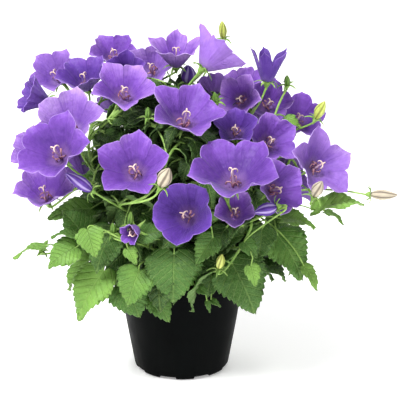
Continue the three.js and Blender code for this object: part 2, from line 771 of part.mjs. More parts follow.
// The rings of a calyx: a cone-shaped ovary that widens from the stem, with five narrow spreading sepals,
// every other point of its widest ring. The rings start at the point nearest to where the stem's ring starts.
function calyxRings(foot, axis, turn, size, stemStart, plain) {
  const side = Math.abs(axis.z) > 0.9 ? RIGHTWARD : UP;
  const top = side.clone().addScaledVector(axis, -side.dot(axis)).normalize();
  const right = top.clone().cross(axis);
  const at = (up, out, degrees) => {
    const angle = THREE.MathUtils.degToRad(degrees);
    const point = foot.clone().addScaledVector(axis, up);
    point.addScaledVector(top, out * Math.cos(angle));
    return point.addScaledVector(right, out * Math.sin(angle));
  };
  const seat = -(PETAL / 2 + SEAT_GAP);
  const star = [];
  const rest = [];
  for (let i = 0; i < 2 * LOBES; i += 1) {
    const angle = turn - 36 * i;
    const drop = plain ? 0 : 1.6 * size;
    const tip = at(seat - 0.9 * size, SEPAL_LENGTH * size, angle);
    const root = at(seat - drop, SEPAL_ROOT * size, angle);
    star.push(i % 2 ? tip : root);
    rest.push(at(seat, OVARY_RADIUS * size * (i % 2 ? 1 : 0.85), angle));
  }
  let first = 0;
  for (let i = 1; i < rest.length; i += 1) {
    if (rest[i].distanceTo(stemStart) < rest[first].distanceTo(stemStart)) first = i;
  }
  const turned = (ring) => [...ring.slice(first), ...ring.slice(0, first)];
  return plain ? [turned(star)] : [turned(star), turned(rest)];
}

// A stem that ends in its calyx, as one closed surface.
function stemWithCalyx(path, foot, axis, turn, size, plain) {
  const stem = tubeRings(path, stemRadii(path.length, STEM_RADIUS), STEM_SIDES);
  return bodyOf(loft([...stem, ...calyxRings(foot, axis, turn, size, stem[stem.length - 1][0], plain)]));
}

// Leaves
// Pixels of the foot and of the tip with their depths, the full width, the way the upper face looks, the
// clump, and how far the blade arches. Leaves that show in the picture.
const LEAVES = [
  { foot: [46, 246, -66], tip: [12, 257.5, -68], width: 8, looks: [0, 1, 0.7], rows: 5 },
  { foot: [75, 248, -72], tip: [47, 268, -80], width: 27, looks: [0.1, 0.6, 1], rows: 8 },
  { foot: [80, 237, -68], tip: [50, 236, -74], width: 13, looks: [0, 1, 0.6], rows: 5 },
  { foot: [86, 239, -48], tip: [63, 211, -60], width: 32, looks: [0, 0.5, 1], rows: 6 },
  { foot: [90, 209, -34], tip: [47, 218, -50], width: 22, looks: [0, 0.7, 1], rows: 6 },
  { foot: [88, 230, -88], tip: [96, 258, -92], width: 24, looks: [0, 0.3, 1], rows: 6 },
  { foot: [104, 271, -63], tip: [76, 322, -73], width: 36, looks: [-0.2, 0.4, 1], rows: 8 },
  { foot: [112, 230, -66], tip: [95, 274, -76], width: 34, looks: [-0.1, 0.4, 1], rows: 8 },
  { foot: [132, 246, -49], tip: [104, 274, -59], width: 24, looks: [0, 0.4, 1], rows: 5 },
  { foot: [139, 271, -76], tip: [127, 307, -82], width: 33, looks: [0, 0.3, 1], rows: 8 },
  { foot: [126, 286, -66], tip: [140, 318, -71], width: 37, looks: [0, 0.2, 1], rows: 8 },
  { foot: [155, 297, -65], tip: [169.5, 322.5, -70], width: 22, looks: [0, 0.2, 1], rows: 6 },
  { foot: [174, 254, -76], tip: [173, 305, -82], width: 48, looks: [0, 0.3, 1], rows: 8 },
  { foot: [232, 264, -70], tip: [256, 315, -80], width: 48, looks: [0.1, 0.3, 1], rows: 8 },
  { foot: [217, 258, -58], tip: [206, 298, -66], width: 34, looks: [0, 0.3, 1], rows: 6 },
  { foot: [278, 236, -46], tip: [303, 281, -58], width: 40, looks: [0.2, 0.5, 1], rows: 8 },
  { foot: [304, 266, -60], tip: [318, 291, -64], width: 12, looks: [0.2, 0.5, 1], rows: 5 },
  { foot: [315, 210, -24], tip: [365, 203, -34], width: 25, looks: [0, 1, 0.8], rows: 8 },
  { foot: [325, 212, -20], tip: [345, 224, -24], width: 9, looks: [0, 1, 0.6], rows: 4 },
  { foot: [282, 219, -44], tip: [316, 227.5, -52], width: 20, looks: [0, 1, 0.8], rows: 6 },
  { foot: [290, 226, -34], tip: [303, 237, -40], width: 12, looks: [0, 1, 0.8], rows: 4 },
  { foot: [284, 206, -30], tip: [266, 235, -40], width: 24, looks: [0, 0.5, 1], rows: 5 },
  { foot: [262, 229, -58], tip: [259, 262, -64], width: 26, looks: [0, 0.4, 1], rows: 6 },
  { foot: [244, 242, -76], tip: [258, 258, -80], width: 15, looks: [0, 0.4, 1], rows: 5 },
  { foot: [216, 248, -56], tip: [244, 234, -62], width: 22, looks: [0, 0.6, 1], rows: 5 },
  { foot: [251, 266, -88], tip: [256, 287, -92], width: 14, looks: [0, 0.4, 1], rows: 5 },
  { foot: [286, 118, 2], tip: [301, 128, -4], width: 11, looks: [0, 0.8, 1], rows: 4 },
  { foot: [128, 249, -88], tip: [137, 265, -92], width: 12, looks: [0, 0.4, 1], rows: 4 },
  { foot: [213, 238, -82], tip: [195, 265, -88], width: 22, looks: [0, 0.4, 1], rows: 6 },
  { foot: [198, 288, -74], tip: [209, 295, -78], width: 9, looks: [0, 0.4, 1], rows: 4 },
  { foot: [207, 301, -74], tip: [210, 313, -77], width: 5, looks: [0, 0.4, 1], rows: 3 },
  { foot: [211, 300, -70], tip: [221, 307, -73], width: 6, looks: [0, 0.6, 1], rows: 3 },
  { foot: [150, 206, -60], tip: [148, 250, -70], width: 36, looks: [0, 0.4, 1], rows: 6 },
];

// Large leaves that hang over the rim on the sides and at the back, which the picture doesn't show.
const SKIRT = { count: 12, from: -6, to: 198, radius: 66, seed: 640 };

function skirtLeaf(index) {
  const draw = dice(SKIRT.seed + index);
  const heading = between(SKIRT.from, SKIRT.to, index / (SKIRT.count - 1)) + 8 * (draw() - 0.5);
  const foot = around(SKIRT.radius + 8 * draw(), heading, index % 2 ? 108 + 12 * draw() : 134 + 16 * draw());
  const length = 44 + 12 * draw();
  const tip = foot.clone().add(around(0.72 * length, heading + 24 * (draw() - 0.5), -0.7 * length));
  const looks = around(1.1, heading, 1).normalize();
  return { foot, tip, width: length * (0.74 + 0.16 * draw()), looks, rows: 6, grown: true };
}

// Leaves of the inside: a spiral of headings in tiers.
const FILL = { count: 900, most: 17, seed: 700, lowest: 100, highest: 236 };

function fillLeaf(index) {
  const draw = dice(FILL.seed + index);
  const level = (index * 0.618) % 1;
  const height = between(FILL.lowest, FILL.highest, level ** 1.3);
  const heading = 137.5 * index + 20 * draw();
  const reach = between(24, 66, draw() ** 0.7);
  const length = between(46, 34, level) * (0.8 + 0.35 * draw());
  const droop = between(-18, 8, level) + 10 * (draw() - 0.5);
  const sway = 30 * (draw() - 0.5);
  const foot = around(reach, heading, height);
  const tip = foot.clone().add(around(length, heading + sway, droop));
  const looks = around(between(0.9, 1.8, draw()), heading, 1).normalize();
  return { foot, tip, width: length * between(0.6, 0.85, draw()), looks, rows: 3, grown: true, fill: true };
}

function placedLeaf(leaf, index) {
  const foot = leaf.grown ? leaf.foot : seen(...leaf.foot);
  const tip = leaf.grown ? leaf.tip : seen(...leaf.tip);
  const looks = leaf.grown ? leaf.looks : facing(leaf.looks);
  return { ...leaf, foot, tip, looks, arch: 0.12 * foot.distanceTo(tip), seed: 900 + index };
}

// Width shares of a leaf with a number of rows between foot and tip, read off the outline.
function outlineAt(share) {
  let k = 1;
  while (k < LEAF_OUTLINE.length - 1 && share > LEAF_OUTLINE[k][0]) k += 1;
  const [before, after] = [LEAF_OUTLINE[k - 1], LEAF_OUTLINE[k]];
  return between(before[1], after[1], (share - before[0]) / (after[0] - before[0]));
}

function leafPoint(leaf, share, across) {
  const knee = leaf.foot.clone().lerp(leaf.tip, 0.5).addScaledVector(leaf.looks, 2 * leaf.arch);
  const on = Math.max(share, 0);
  const spine = leaf.foot.clone().multiplyScalar((1 - on) ** 2);
  spine.addScaledVector(knee, 2 * on * (1 - on)).addScaledVector(leaf.tip, on * on);
  const along = knee.clone().sub(leaf.foot).multiplyScalar(1 - on);
  along.addScaledVector(leaf.tip.clone().sub(knee), on).normalize();
  const side = along.clone().cross(leaf.looks).normalize();
  const normal = side.clone().cross(along);
  const behind = Math.min(share, 0) * leaf.foot.distanceTo(leaf.tip);
  spine.addScaledVector(along, across ? behind : 0);
  spine.addScaledVector(side, across);
  return spine.addScaledVector(normal, 0.22 * Math.abs(across));
}

// The blade as rows of three points, the first row with two in the middle, where the stalk joins.
function leafSheet(leaf) {
  const draw = dice(leaf.seed);
  const points = [];
  for (let k = 0; k < leaf.rows; k += 1) {
    const share = between(LEAF_OUTLINE[0][0], 1, k / leaf.rows);
    const tooth = leaf.rows > 5 ? TOOTH : 0;
    const half = (leaf.width / 2) * outlineAt(share);
    const left = half * (1 + tooth * (k % 2 ? 1 : -1) + 0.08 * (draw() - 0.5));
    const right = half * (1 + tooth * (k % 2 ? -1 : 1) + 0.08 * (draw() - 0.5));
    points.push(leafPoint(leaf, share, -left));
    if (k === 0) points.push(leafPoint(leaf, 0, -STALK_HALF), leafPoint(leaf, 0, STALK_HALF));
    if (k > 0) points.push(leafPoint(leaf, share, 0));
    points.push(leafPoint(leaf, share, right));
  }
  points.push(leafPoint(leaf, 1, 0));
  const faces = [[0, 1, 5], [0, 5, 4], [1, 2, 5], [2, 3, 6], [2, 6, 5]];
  for (let k = 1; k + 1 < leaf.rows; k += 1) {
    const a = 3 * k + 1;
    faces.push([a, a + 1, a + 4], [a, a + 4, a + 3], [a + 1, a + 2, a + 5], [a + 1, a + 5, a + 4]);
  }
  const end = 3 * leaf.rows - 2;
  faces.push([end, end + 1, end + 3], [end + 1, end + 2, end + 3]);
  return { points, faces };
}

function addBlade(leaf) {
  const { points, faces } = leafSheet(leaf);
  const middle = leaf.foot.clone().lerp(leaf.tip, 0.5);
  const reach = Math.max(...points.map((point) => point.distanceTo(middle)));
  blades.push({ leaf, middle, reach, triangles: faces.map((face) => face.map((i) => points[i])) });
}

const edgesOf = (triangles) => triangles.flatMap(([a, b, c]) => [[a, b], [b, c], [c, a]]);

// True if the blade keeps clear of every bloom, the pot, the neighbouring clumps, stems and other blades.
function leafFits(leaf, clump) {
  const { points, faces } = leafSheet(leaf);
  const free = (point) => room(point, null) > BLADE_ROOM && !outsideQuarter(clump, point, 1);
  if (!points.every(free)) return false;
  const triangles = faces.map((face) => face.map((i) => points[i]));
  const cuts = ([from, to]) => triangles.some((triangle) => meets(from, to, triangle));
  if (stretches.some(({ start, end }) => cuts([start, end]))) return false;
  if (edgesOf(triangles).some((edge) => crossings(edge, leaf) > 0)) return false;
  return !blades.some((blade) => edgesOf(blade.triangles).some(cuts));
}

// A leaf and its stalk as one sheet, thicker along the stalk.
function leafBody(leaf, path) {
  const { points, faces } = leafSheet(leaf);
  const thickness = points.map(() => LEAF);
  const across = points[2].clone().sub(points[1]).normalize().multiplyScalar(STALK_HALF);
  let [left, right] = [1, 2];
  for (let k = path.length - 2; k >= 0; k -= 1) {
    points.push(path[k].clone().sub(across), path[k].clone().add(across));
    thickness.push(STALK_THICKNESS, STALK_THICKNESS);
    const [nextLeft, nextRight] = [points.length - 2, points.length - 1];
    faces.push([nextLeft, nextRight, right], [nextLeft, right, left]);
    [left, right] = [nextLeft, nextRight];
  }
  return bodyOf(thicken(points, faces, thickness));
}

// A leaf of the spiral is left out where the blade or its stalk has no room.
function leafBodies(leaf, clump, joints) {
  if (leaf.fill && !leafFits(leaf, clump)) return [];
  const end = leafPoint(leaf, 0, 0);
  const arrive = leaf.tip.clone().sub(leaf.foot).normalize().addScaledVector(UP, -0.3).normalize();
  const path = grownStem(clump, joints, end, arrive, leaf);
  if (path === null) return [];
  if (leaf.fill) addBlade(leaf);
  return [leafBody(leaf, path)];
}

// Assembly

const finish = (tint, roughness) => new THREE.MeshStandardMaterial({ color: tint, roughness, metalness: 0 });

const plant = new THREE.Group();
plant.name = "potted_carpathian_bellflower";

function addNode(name, body, material) {
  const mesh = new THREE.Mesh(geometryOf(body), material);
  mesh.name = name;
  plant.add(mesh);
}

function clumpBodies() {
  const parts = new Map(CLUMPS.map((clump) => [clump.name, [bodyOf(crownShape(clump, 0))]]));
  const joints = new Map(CLUMPS.map((clump) => [clump.name, []]));
  const stalk = (foot, axis, turn, size, own) => {
    const clump = clumpAt(foot);
    const end = foot.clone().addScaledVector(axis, -OVARY_LENGTH * size);
    const path = grownStem(clump, joints.get(clump.name), end, axis, own);
    parts.get(clump.name).push(stemWithCalyx(path, foot, axis, turn, size, !own.fine));
  };
  const leaves = LEAVES.map(placedLeaf);
  for (let k = 0; k < SKIRT.count; k += 1) leaves.push(placedLeaf(skirtLeaf(k), leaves.length));
  leaves.forEach(addBlade);
  for (const bloom of ALL_BLOOMS) stalk(bloom.foot, bloom.axis, bloom.turn, 1, bloom);
  for (const bud of ALL_BUDS) {
    stalk(bud.foot, bud.axis, bud.turn, 0.8, bud);
    const seated = { ...bud, foot: bud.foot.clone().addScaledVector(bud.axis, -2) };
    if (!bud.tint) parts.get(clumpAt(bud.foot).name).push(bodyOf(budShape(seated)));
  }
  for (let k = 0; k < FILL.count; k += 1) leaves.push(placedLeaf(fillLeaf(k), leaves.length));
  let filled = 0;
  for (const leaf of leaves) {
    if (filled === FILL.most) break;
    const clump = clumpAt(leafPoint(leaf, 0.5, 0));
    const grown = leafBodies(leaf, clump, joints.get(clump.name));
    if (leaf.fill) filled += grown.length;
    parts.get(clump.name).push(...grown);
  }
  return parts;
}

addNode("pot", potBody(), finish(POT_BLACK, 0.45));
addNode("soil", soilBody(), finish(SOIL_BROWN, 0.95));
for (const [name, bodies] of clumpBodies()) addNode(name, fuse(bodies), finish(LEAF_GREEN, 0.6));
for (const bloom of ALL_BLOOMS) addNode(bloom.name, bloomBody(bloom), finish(bloom.tint, 0.55));
for (const bud of ALL_BUDS) if (bud.tint) addNode(bud.name, bodyOf(budShape(bud)), finish(bud.tint, 0.55));

export default plant;
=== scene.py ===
# %% [markdown]
# # Potted Carpathian bellflower
# A round black nursery pot holds potting soil and four leafy clumps, which carry open bell blooms and
# closed buds. The CAD model says where every piece is and how large it is. This lesson grows the finer
# visual model in the same frame: thin petals with creases, pistils, toothed leaves with veins, round
# stems and a moulded pot. The pieces could be sculpted by hand, but rules with seeded draws keep them in
# step with the CAD model.

import math

import bpy
import numpy as np
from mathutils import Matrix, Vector


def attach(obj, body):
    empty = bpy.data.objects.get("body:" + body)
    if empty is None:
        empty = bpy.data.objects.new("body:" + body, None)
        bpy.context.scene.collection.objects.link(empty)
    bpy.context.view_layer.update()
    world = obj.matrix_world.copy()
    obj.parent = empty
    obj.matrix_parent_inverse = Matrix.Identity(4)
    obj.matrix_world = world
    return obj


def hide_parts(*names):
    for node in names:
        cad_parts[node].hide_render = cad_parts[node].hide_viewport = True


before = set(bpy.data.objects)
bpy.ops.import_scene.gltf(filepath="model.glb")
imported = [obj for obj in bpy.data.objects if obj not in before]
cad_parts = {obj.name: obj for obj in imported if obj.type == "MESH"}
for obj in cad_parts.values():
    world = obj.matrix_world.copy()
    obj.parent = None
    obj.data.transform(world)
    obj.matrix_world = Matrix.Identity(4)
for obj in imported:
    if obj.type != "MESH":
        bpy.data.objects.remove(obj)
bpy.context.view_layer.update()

# %% [markdown]
# ## Picture frame
# The plant is laid out on a picture of 400 x 400 pixels that looks at it from the front and a little from
# above. A point of the plant is a pixel and a depth, its Y coordinate. All lengths are millimetres until
# a mesh is made.

# %% Picture frame
MM = 0.001
PIXEL = 0.875
DISTANCE = 1300
ELEVATION = math.radians(16)
TARGET = np.array([16.6, 0.0, 153.0])
MIDDLE = 200
FORWARD = np.array([0.0, math.cos(ELEVATION), -math.sin(ELEVATION)])
RIGHTWARD = np.array([1.0, 0.0, 0.0])
UPWARD = np.array([0.0, math.sin(ELEVATION), math.cos(ELEVATION)])
EYE = TARGET - DISTANCE * FORWARD
UP = np.array([0.0, 0.0, 1.0])


def seen(px, py, y):
    """The point of the plant at depth y that shows at pixel (px, py)."""
    focal = DISTANCE / PIXEL
    ray = FORWARD + RIGHTWARD * (px - MIDDLE) / focal + UPWARD * (MIDDLE - py) / focal
    return EYE + ray * (y - EYE[1]) / ray[1]


def unit(vectors):
    """Vectors brought to a length of 1."""
    vectors = np.asarray(vectors, float)
    return vectors / np.maximum(np.linalg.norm(vectors, axis=-1, keepdims=True), 1e-12)


def facing(way):
    """A direction given as right, up and towards the viewer in the picture."""
    return unit(RIGHTWARD * way[0] + UPWARD * way[1] - FORWARD * way[2])


def around(radius, degrees, z):
    """The point at a heading around the pot's axis."""
    turn = math.radians(degrees)
    return np.array([radius * math.cos(turn), radius * math.sin(turn), z])


def between(low, high, share):
    return low + (high - low) * share


def dice(seed):
    """Seeded draws between 0 and 1, the same on every machine."""
    state = seed * 7919 + 17

    def draw():
        nonlocal state
        state = (state * 16807) % 2147483647
        return state / 2147483647

    draw()
    draw()
    return draw


print("eye:", EYE.round(1))

# %% [markdown]
# ## Blooms and buds
# A bloom is the pixel of the middle of its mouth, its depth, the way it looks (right, up, towards the
# viewer), the width across the lobe tips, the depth of its cup, the clockwise turn of its first lobe and
# the share of the cup at which the lobes part. The far side isn't in the picture, so its blooms follow a
# rule in two tiers.

# %% Blooms
LOBES = 5
BLOOMS = [
    ("01", (48, 142), -87, (-9, 13, 20.6), 68, 26, 4, 0.66, "violet"),
    ("02", (42, 180), -59, (-2, 16, 16), 54, 24, 30, 0.68, "violet"),
    ("03", (66, 112), -46, (-3, 15, 20), 62, 25, 4, 0.68, "pale"),
    ("04", (80, 66), 2, (-5, 18, 15), 50, 24, 20, 0.64, "deep"),
    ("05", (50, 66), 32, (-8, 12, 18), 50, 22, 8, 0.64, "pale"),
    ("06", (21, 92), 8, (-19, 7, 8), 36, 24, 0, 0.64, "deep"),
    ("07", (113, 44), 45, (0, 16, 16), 46, 20, 36, 0.64, "violet"),
    ("08", (124, 80), -42, (1, 16, 20), 57, 24, 36, 0.64, "violet"),
    ("09", (124, 66), -10, (-3, 8, 20), 36, 18, 0, 0.64, "deep"),
    ("10", (150, 60), 22, (-2, 12, 20), 46, 20, 12, 0.64, "pale"),
    ("11", (176, 37), 2, (0, 22, 14), 52, 27, 2, 0.5, "violet"),
    ("13", (226, 43), -13, (20, 22, -4), 55, 29, 14, 0.64, "pale"),
    ("14", (213, 80), 38, (-3, 15, -10), 34, 18, 0, 0.64, "pale"),
    ("15", (236, 95), -11, (-8, 6, 22), 43, 20, 20, 0.64, "violet"),
    ("16", (271, 43), 4, (3, 30, 8), 36, 33, 12, 0.3, "deep"),
    ("17", (246, 74), 43, (0, 12, 10), 38, 18, 0, 0.64, "violet"),
    ("18", (272, 97), 11, (5, 8, 18), 44, 20, 24, 0.64, "violet"),
    ("19", (303, 112), 36, (5, 10, 18), 50, 20, 16, 0.64, "violet"),
    ("20", (276, 135), -30, (8, 8, 20), 50, 22, 0, 0.64, "violet"),
    ("21", (328, 160), -36, (12, 8, 19), 65, 24, 12, 0.6, "pale"),
    ("22", (233, 160), -112, (-1, 20, 17), 78, 27, 36, 0.68, "violet"),
    ("23", (286, 186), -66, (13, 4, 18), 50, 22, -10, 0.7, "violet"),
    ("24", (235, 207), -86, (0, 8, 20), 35, 18, 36, 0.72, "violet"),
    ("25", (181, 211), -110, (-7, 6, 22), 55, 23, 36, 0.8, "deep"),
    ("26", (131, 161), -85, (-3, 11, 22), 63, 24, 3, 0.7, "violet"),
    ("27", (189, 103), -66, (5, 18, 18), 66, 26, 36, 0.66, "violet"),
    ("28", (236, 122), -45, (0, 10, 15), 40, 18, 0, 0.64, "deep"),
    ("29", (126, 237), -98, (-10, -8, 16), 19, 15, 10, 0.5, "violet"),
    ("30", (22, 145), -26, (-12, 5, 12), 40, 20, 0, 0.64, "pale"),
]
# Blooms of each tier, headings of the first and last, radius, height, width and how far they look up.
REAR_TIERS = [(4, 26, 154, 116, 172, 56, 0.55), (3, 53, 127, 100, 226, 52, 1.3)]


def rear_blooms():
    """The two tiers of the far side, with a little scatter in every measure."""
    made = []
    for count, first, last, radius, z, width, rise in REAR_TIERS:
        for k in range(count):
            draw = dice(60 + len(made))
            heading = between(first, last, k / (count - 1)) + 6 * (draw() - 0.5)
            mouth = around(radius + 8 * (draw() - 0.5), heading, z + 14 * (draw() - 0.5))
            own_width = width + 8 * (draw() - 0.5)
            name = f"rear_{len(made) + 1}"
            sizes = (own_width, 0.4 * own_width, 72 * draw(), 0.64, "violet")
            made.append((name, mouth, unit(around(1, heading, rise)), *sizes))
    return made


def placed_bloom(index, name, mouth, axis, width, depth, turn, cut, tint):
    """A bloom with its foot, the two directions across its mouth, and the scatter of its lobes."""
    top = unit(UP - axis * axis[2])
    draw = dice(200 + index)
    scatter = [(0.1 * (draw() - 0.5), 2.4 * (draw() - 0.5)) for _ in range(LOBES)]
    bloom = {"name": name, "index": index, "axis": axis, "width": width, "depth": depth, "turn": turn}
    bloom.update({"cut": cut, "tint": tint, "foot": mouth - axis * depth, "top": top, "kind": "bloom"})
    bloom.update({"right": np.cross(top, axis), "scatter": scatter, "rows": 0, "fill": False})
    return bloom


front_blooms = [(name, seen(*at, y), facing(looks), *rest) for name, at, y, looks, *rest in BLOOMS]
ALL_BLOOMS = [placed_bloom(k, *row) for k, row in enumerate(front_blooms + rear_blooms())]
print("blooms:", len(ALL_BLOOMS))

# %% [markdown]
# A bud is the pixels of its foot and its tip, its depth, its greatest diameter and its kind. Green buds
# are young and sit on the clump's own stems. Violet, cream and yellow-green ones are nearly ready to
# open.

# %% Buds
BUDS = [
    ("violet_1", (91, 190), (65, 173), -85, 12, "violet"),
    ("violet_2", (276, 207), (254, 213), -89, 12, "violet"),
    ("violet_3", (188, 82), (188, 65), 17, 15, "violet"),
    ("cream_1", (161, 186), (169, 168), -112, 13, "cream"),
    ("cream_2", (371, 194.5), (398, 195), -30, 10, "cream"),
    ("cream_3", (314, 196), (322, 181), -63, 11, "cream"),
    ("yellow_1", (223, 38), (222, 21), 42, 8, "yellow"),
    ("yellow_2", (219, 268), (222, 254), -92, 8, "yellow"),
    ("yellow_3", (316, 118), (325, 101), -12, 10, "yellow"),
    ("small_1", (287, 84), (287, 73), 10, 6, "green"),
    ("small_2", (148, 116), (148, 105), -50, 6, "green"),
    ("small_3", (113, 231), (113, 221), -78, 6, "green"),
    ("small_4", (216, 101), (214, 90), -34, 6, "green"),
    ("small_5", (42, 250), (49, 238), -58, 5, "green"),
]


def placed_bud(index, name, foot_pixel, tip_pixel, y, across, tint):
    foot = seen(*foot_pixel, y)
    tip = seen(*tip_pixel, y - 4)
    bud = {"name": name, "index": index, "foot": foot, "tip": tip, "axis": unit(tip - foot)}
    bud.update({"across": across, "tint": tint, "turn": 0, "kind": "bud", "rows": 0, "fill": False})
    return bud


ALL_BUDS = [placed_bud(k, *row) for k, row in enumerate(BUDS)]
print("buds:", len(ALL_BUDS))

# %% [markdown]
# ## Corolla formula
# The corolla is one sheet of revolution whose edge is drawn in between five lobes. The CAD model samples
# the same formula coarsely. A real petal also has a crease at each notch, a shallow groove along the
# middle of each lobe, a tip that curls back and a slightly wavy edge, so the fine version adds those on
# top.

# %% Corolla formula
THROAT = 4.2
NOTCH = 0.61
SPREAD = 0.82
RISE = 1.25
PLEAT = 3.0
CREASE = 2.3
GROOVE = 0.8
TWIST = 3.2
CRINKLE = 0.4
RECURVE = 1.2
WAVE = 2.0


def petal_points(bloom, degrees, share):
    """Points of the corolla at clockwise angles from the top, at shares of the way from foot to edge."""
    turns = (degrees - bloom["turn"]) % 360
    lobe = np.round(turns / 72).astype(int)
    side = (turns - 72 * lobe) / 36
    phase = np.abs(side)
    lobe = lobe % LOBES
    edge = 1 - (1 - bloom["cut"]) * (1 + NOTCH * (bloom["cut"] - 0.3)) * (0.8 * phase**0.7 + 0.2 * phase**6)
    s = share * edge
    reach = np.array([pair[0] for pair in bloom["scatter"]])[lobe]
    lift = np.array([pair[1] for pair in bloom["scatter"]])[lobe]
    own = (1 - phase * phase) * s * s
    radius = between(THROAT, bloom["width"] / 2, s**SPREAD) * (1 + reach * own)
    size = bloom["width"] / 60
    draw = dice(400 + bloom["index"])
    swings = [2 * math.pi * draw() for _ in range(3)]
    turned = np.array([2 * draw() - 1 for _ in range(LOBES)])[lobe]
    twist = TWIST * size * turned * side * (1 - phase**2) * s**2
    wave = np.sin(3 * np.radians(turns) + swings[0]) + np.sin(11 * np.radians(turns) + swings[1])
    fold = PLEAT * (0.3 * np.cos(np.pi * phase) + 1.1 * (1 - 2 * np.sqrt(phase**2 + 0.002))) * s**1.3
    crease = CREASE * size * np.exp(-(((1 - phase) / 0.14) ** 2)) * s**1.4
    groove = GROOVE * size * np.exp(-((phase / 0.1) ** 2)) * s * (1 - share**4)
    curl = RECURVE * size * np.clip((share - 0.72) / 0.28, 0, 1) ** 2 * (1 - phase) ** 1.2
    height = bloom["depth"] * s * (RISE - (RISE - 1) * s) - fold + lift * own
    crinkle = CRINKLE * size * np.sin(9 * side + swings[2] + 2.5 * np.sin(lobe)) * (1 - phase**4) * s**1.5
    height = height + crease - groove - curl + twist + crinkle + WAVE * size * 0.5 * wave * share**5
    angle = np.radians(degrees)
    points = bloom["foot"] + height[..., None] * bloom["axis"]
    points = points + (radius * np.cos(angle))[..., None] * bloom["top"]
    return points + (radius * np.sin(angle))[..., None] * bloom["right"]


print("lobe tip of the first bloom:", petal_points(ALL_BLOOMS[0], np.array([4.0]), np.array([1.0])).round(1))

# %% [markdown]
# ## Pot and crowns
# The sizes of the pot, the soil and the four crowns are those of the CAD model. Each clump keeps to its
# own quarter around the pot's axis, and its heading is the middle of that quarter.

# %% Pot and crown sizes
POT_HEIGHT = 90
RIM_RADIUS = 59
RIM_BAND = 10
POT_TOP_RADIUS = 55.8
POT_LOW_RADIUS = 42.3
POT_LOW_HEIGHT = 4.5
FOOT_RADIUS = 39
POT_WALL = 1.6
POT_FLOOR = 1.8
SOIL_TOP = 80
CROWN_RING = 25
CROWN_RADIUS = 10
CROWN_BOTTOM = 72
CROWN_TOP = 86
CLUMPS = {"clump_front": -90, "clump_right": 0, "clump_back": 90, "clump_left": 180}


def pot_inside(z):
    """Inside radius of the pot at a height between its floor and its rim."""
    share = (z - POT_LOW_HEIGHT) / (POT_HEIGHT - RIM_BAND - 2 - POT_LOW_HEIGHT)
    return between(POT_LOW_RADIUS - POT_WALL, POT_TOP_RADIUS - 1.6, share)


def clump_at(point):
    """The clump whose quarter a point is in."""
    heading = math.degrees(math.atan2(point[1], point[0]))
    away = {name: abs((heading - own + 540) % 360 - 180) for name, own in CLUMPS.items()}
    return min(away, key=away.get)


def inside_quarter(clump, points, margin):
    """Points kept on their own side of the two planes that bound the clump's quarter."""
    kept = np.array(points, float)
    for side in (-1, 1):
        inward = around(1, CLUMPS[clump] + side * 45 - side * 90, 0)
        depth = kept @ inward
        kept = kept + np.maximum(margin - depth, 0)[..., None] * inward
    return kept


print("soil radius:", round(pot_inside(SOIL_TOP), 1))

# %% [markdown]
# ## Room around the plant
# Stems have to find a way between the blooms, as they do on the real plant. Each bloom counts as a solid
# cup and each bud as a ball. The functions take many points at once, which keeps the search quick.

# %% Room around the plant
FEET = np.array([bloom["foot"] for bloom in ALL_BLOOMS])
AXES = np.array([bloom["axis"] for bloom in ALL_BLOOMS])
DEPTHS = np.array([bloom["depth"] for bloom in ALL_BLOOMS], float)
HALVES = np.array([bloom["width"] for bloom in ALL_BLOOMS], float) / 2
BALLS = np.array([between(bud["foot"], bud["tip"], 0.45) for bud in ALL_BUDS])
BALL_SIZES = np.array([0.7 * bud["across"] + 2 for bud in ALL_BUDS])
GREEN = np.array([bud["tint"] == "green" for bud in ALL_BUDS])


def room_at_pot(points):
    """How far points are from the pot and the soil."""
    radius = np.hypot(points[:, 0], points[:, 1])
    z = points[:, 2]
    above = np.hypot(z - POT_HEIGHT, np.maximum(radius - RIM_RADIUS, 0))
    over_soil = np.where(radius < pot_inside(SOIL_TOP) - 4, z - SOIL_TOP - 2, -1)
    return np.where(z > POT_HEIGHT, above, np.where(radius > RIM_RADIUS, radius - RIM_RADIUS, over_soil))


def room(points, own=None):
    """How far points are from everything that is in place, the owner left out."""
    away = points[:, None] - FEET
    height = np.einsum("pbi,bi->pb", away, AXES)
    radial = np.linalg.norm(away - height[..., None] * AXES, axis=2)
    level = np.clip(height / DEPTHS, 0, 1)
    s = (RISE - np.sqrt(RISE * RISE - 4 * (RISE - 1) * level)) / (2 * (RISE - 1))
    beyond = radial - between(THROAT, HALVES, s**SPREAD)
    under = np.hypot(np.maximum(beyond, 0), height)
    over = np.hypot(np.maximum(beyond, 0), height - DEPTHS)
    cups = np.where(height < 0, under, np.where(height > DEPTHS, over, 0.7 * beyond))
    balls = np.linalg.norm(points[:, None] - BALLS, axis=2) - BALL_SIZES
    balls[:, GREEN] = np.inf
    if own is not None and own["kind"] == "bloom":
        cups[:, own["index"]] = np.inf
    if own is not None and own["kind"] == "bud":
        balls[:, own["index"]] = np.inf
    return np.minimum(np.minimum(cups.min(axis=1), balls.min(axis=1)), room_at_pot(points))


def meets(starts, ends, corners):
    """For every line and every triangle, whether the line goes through it."""
    way = ends - starts
    length = np.linalg.norm(way, axis=1)
    heading = way / length[:, None]
    edge_1 = corners[:, 1] - corners[:, 0]
    edge_2 = corners[:, 2] - corners[:, 0]
    normal = np.cross(edge_1, edge_2)
    slope = heading @ normal.T
    sign = np.sign(slope)
    slope = np.abs(slope)
    away = starts[:, None] - corners[None, :, 0]
    first = sign * np.einsum("sti,si->st", np.cross(away, edge_2[None]), heading)
    second = sign * np.einsum("sti,si->st", np.cross(edge_1[None], away), heading)
    depth = -sign * np.einsum("sti,ti->st", away, normal)
    inside = (slope > 0) & (first >= 0) & (second >= 0) & (first + second <= slope) & (depth >= 0)
    return inside & (depth <= slope * length[:, None])


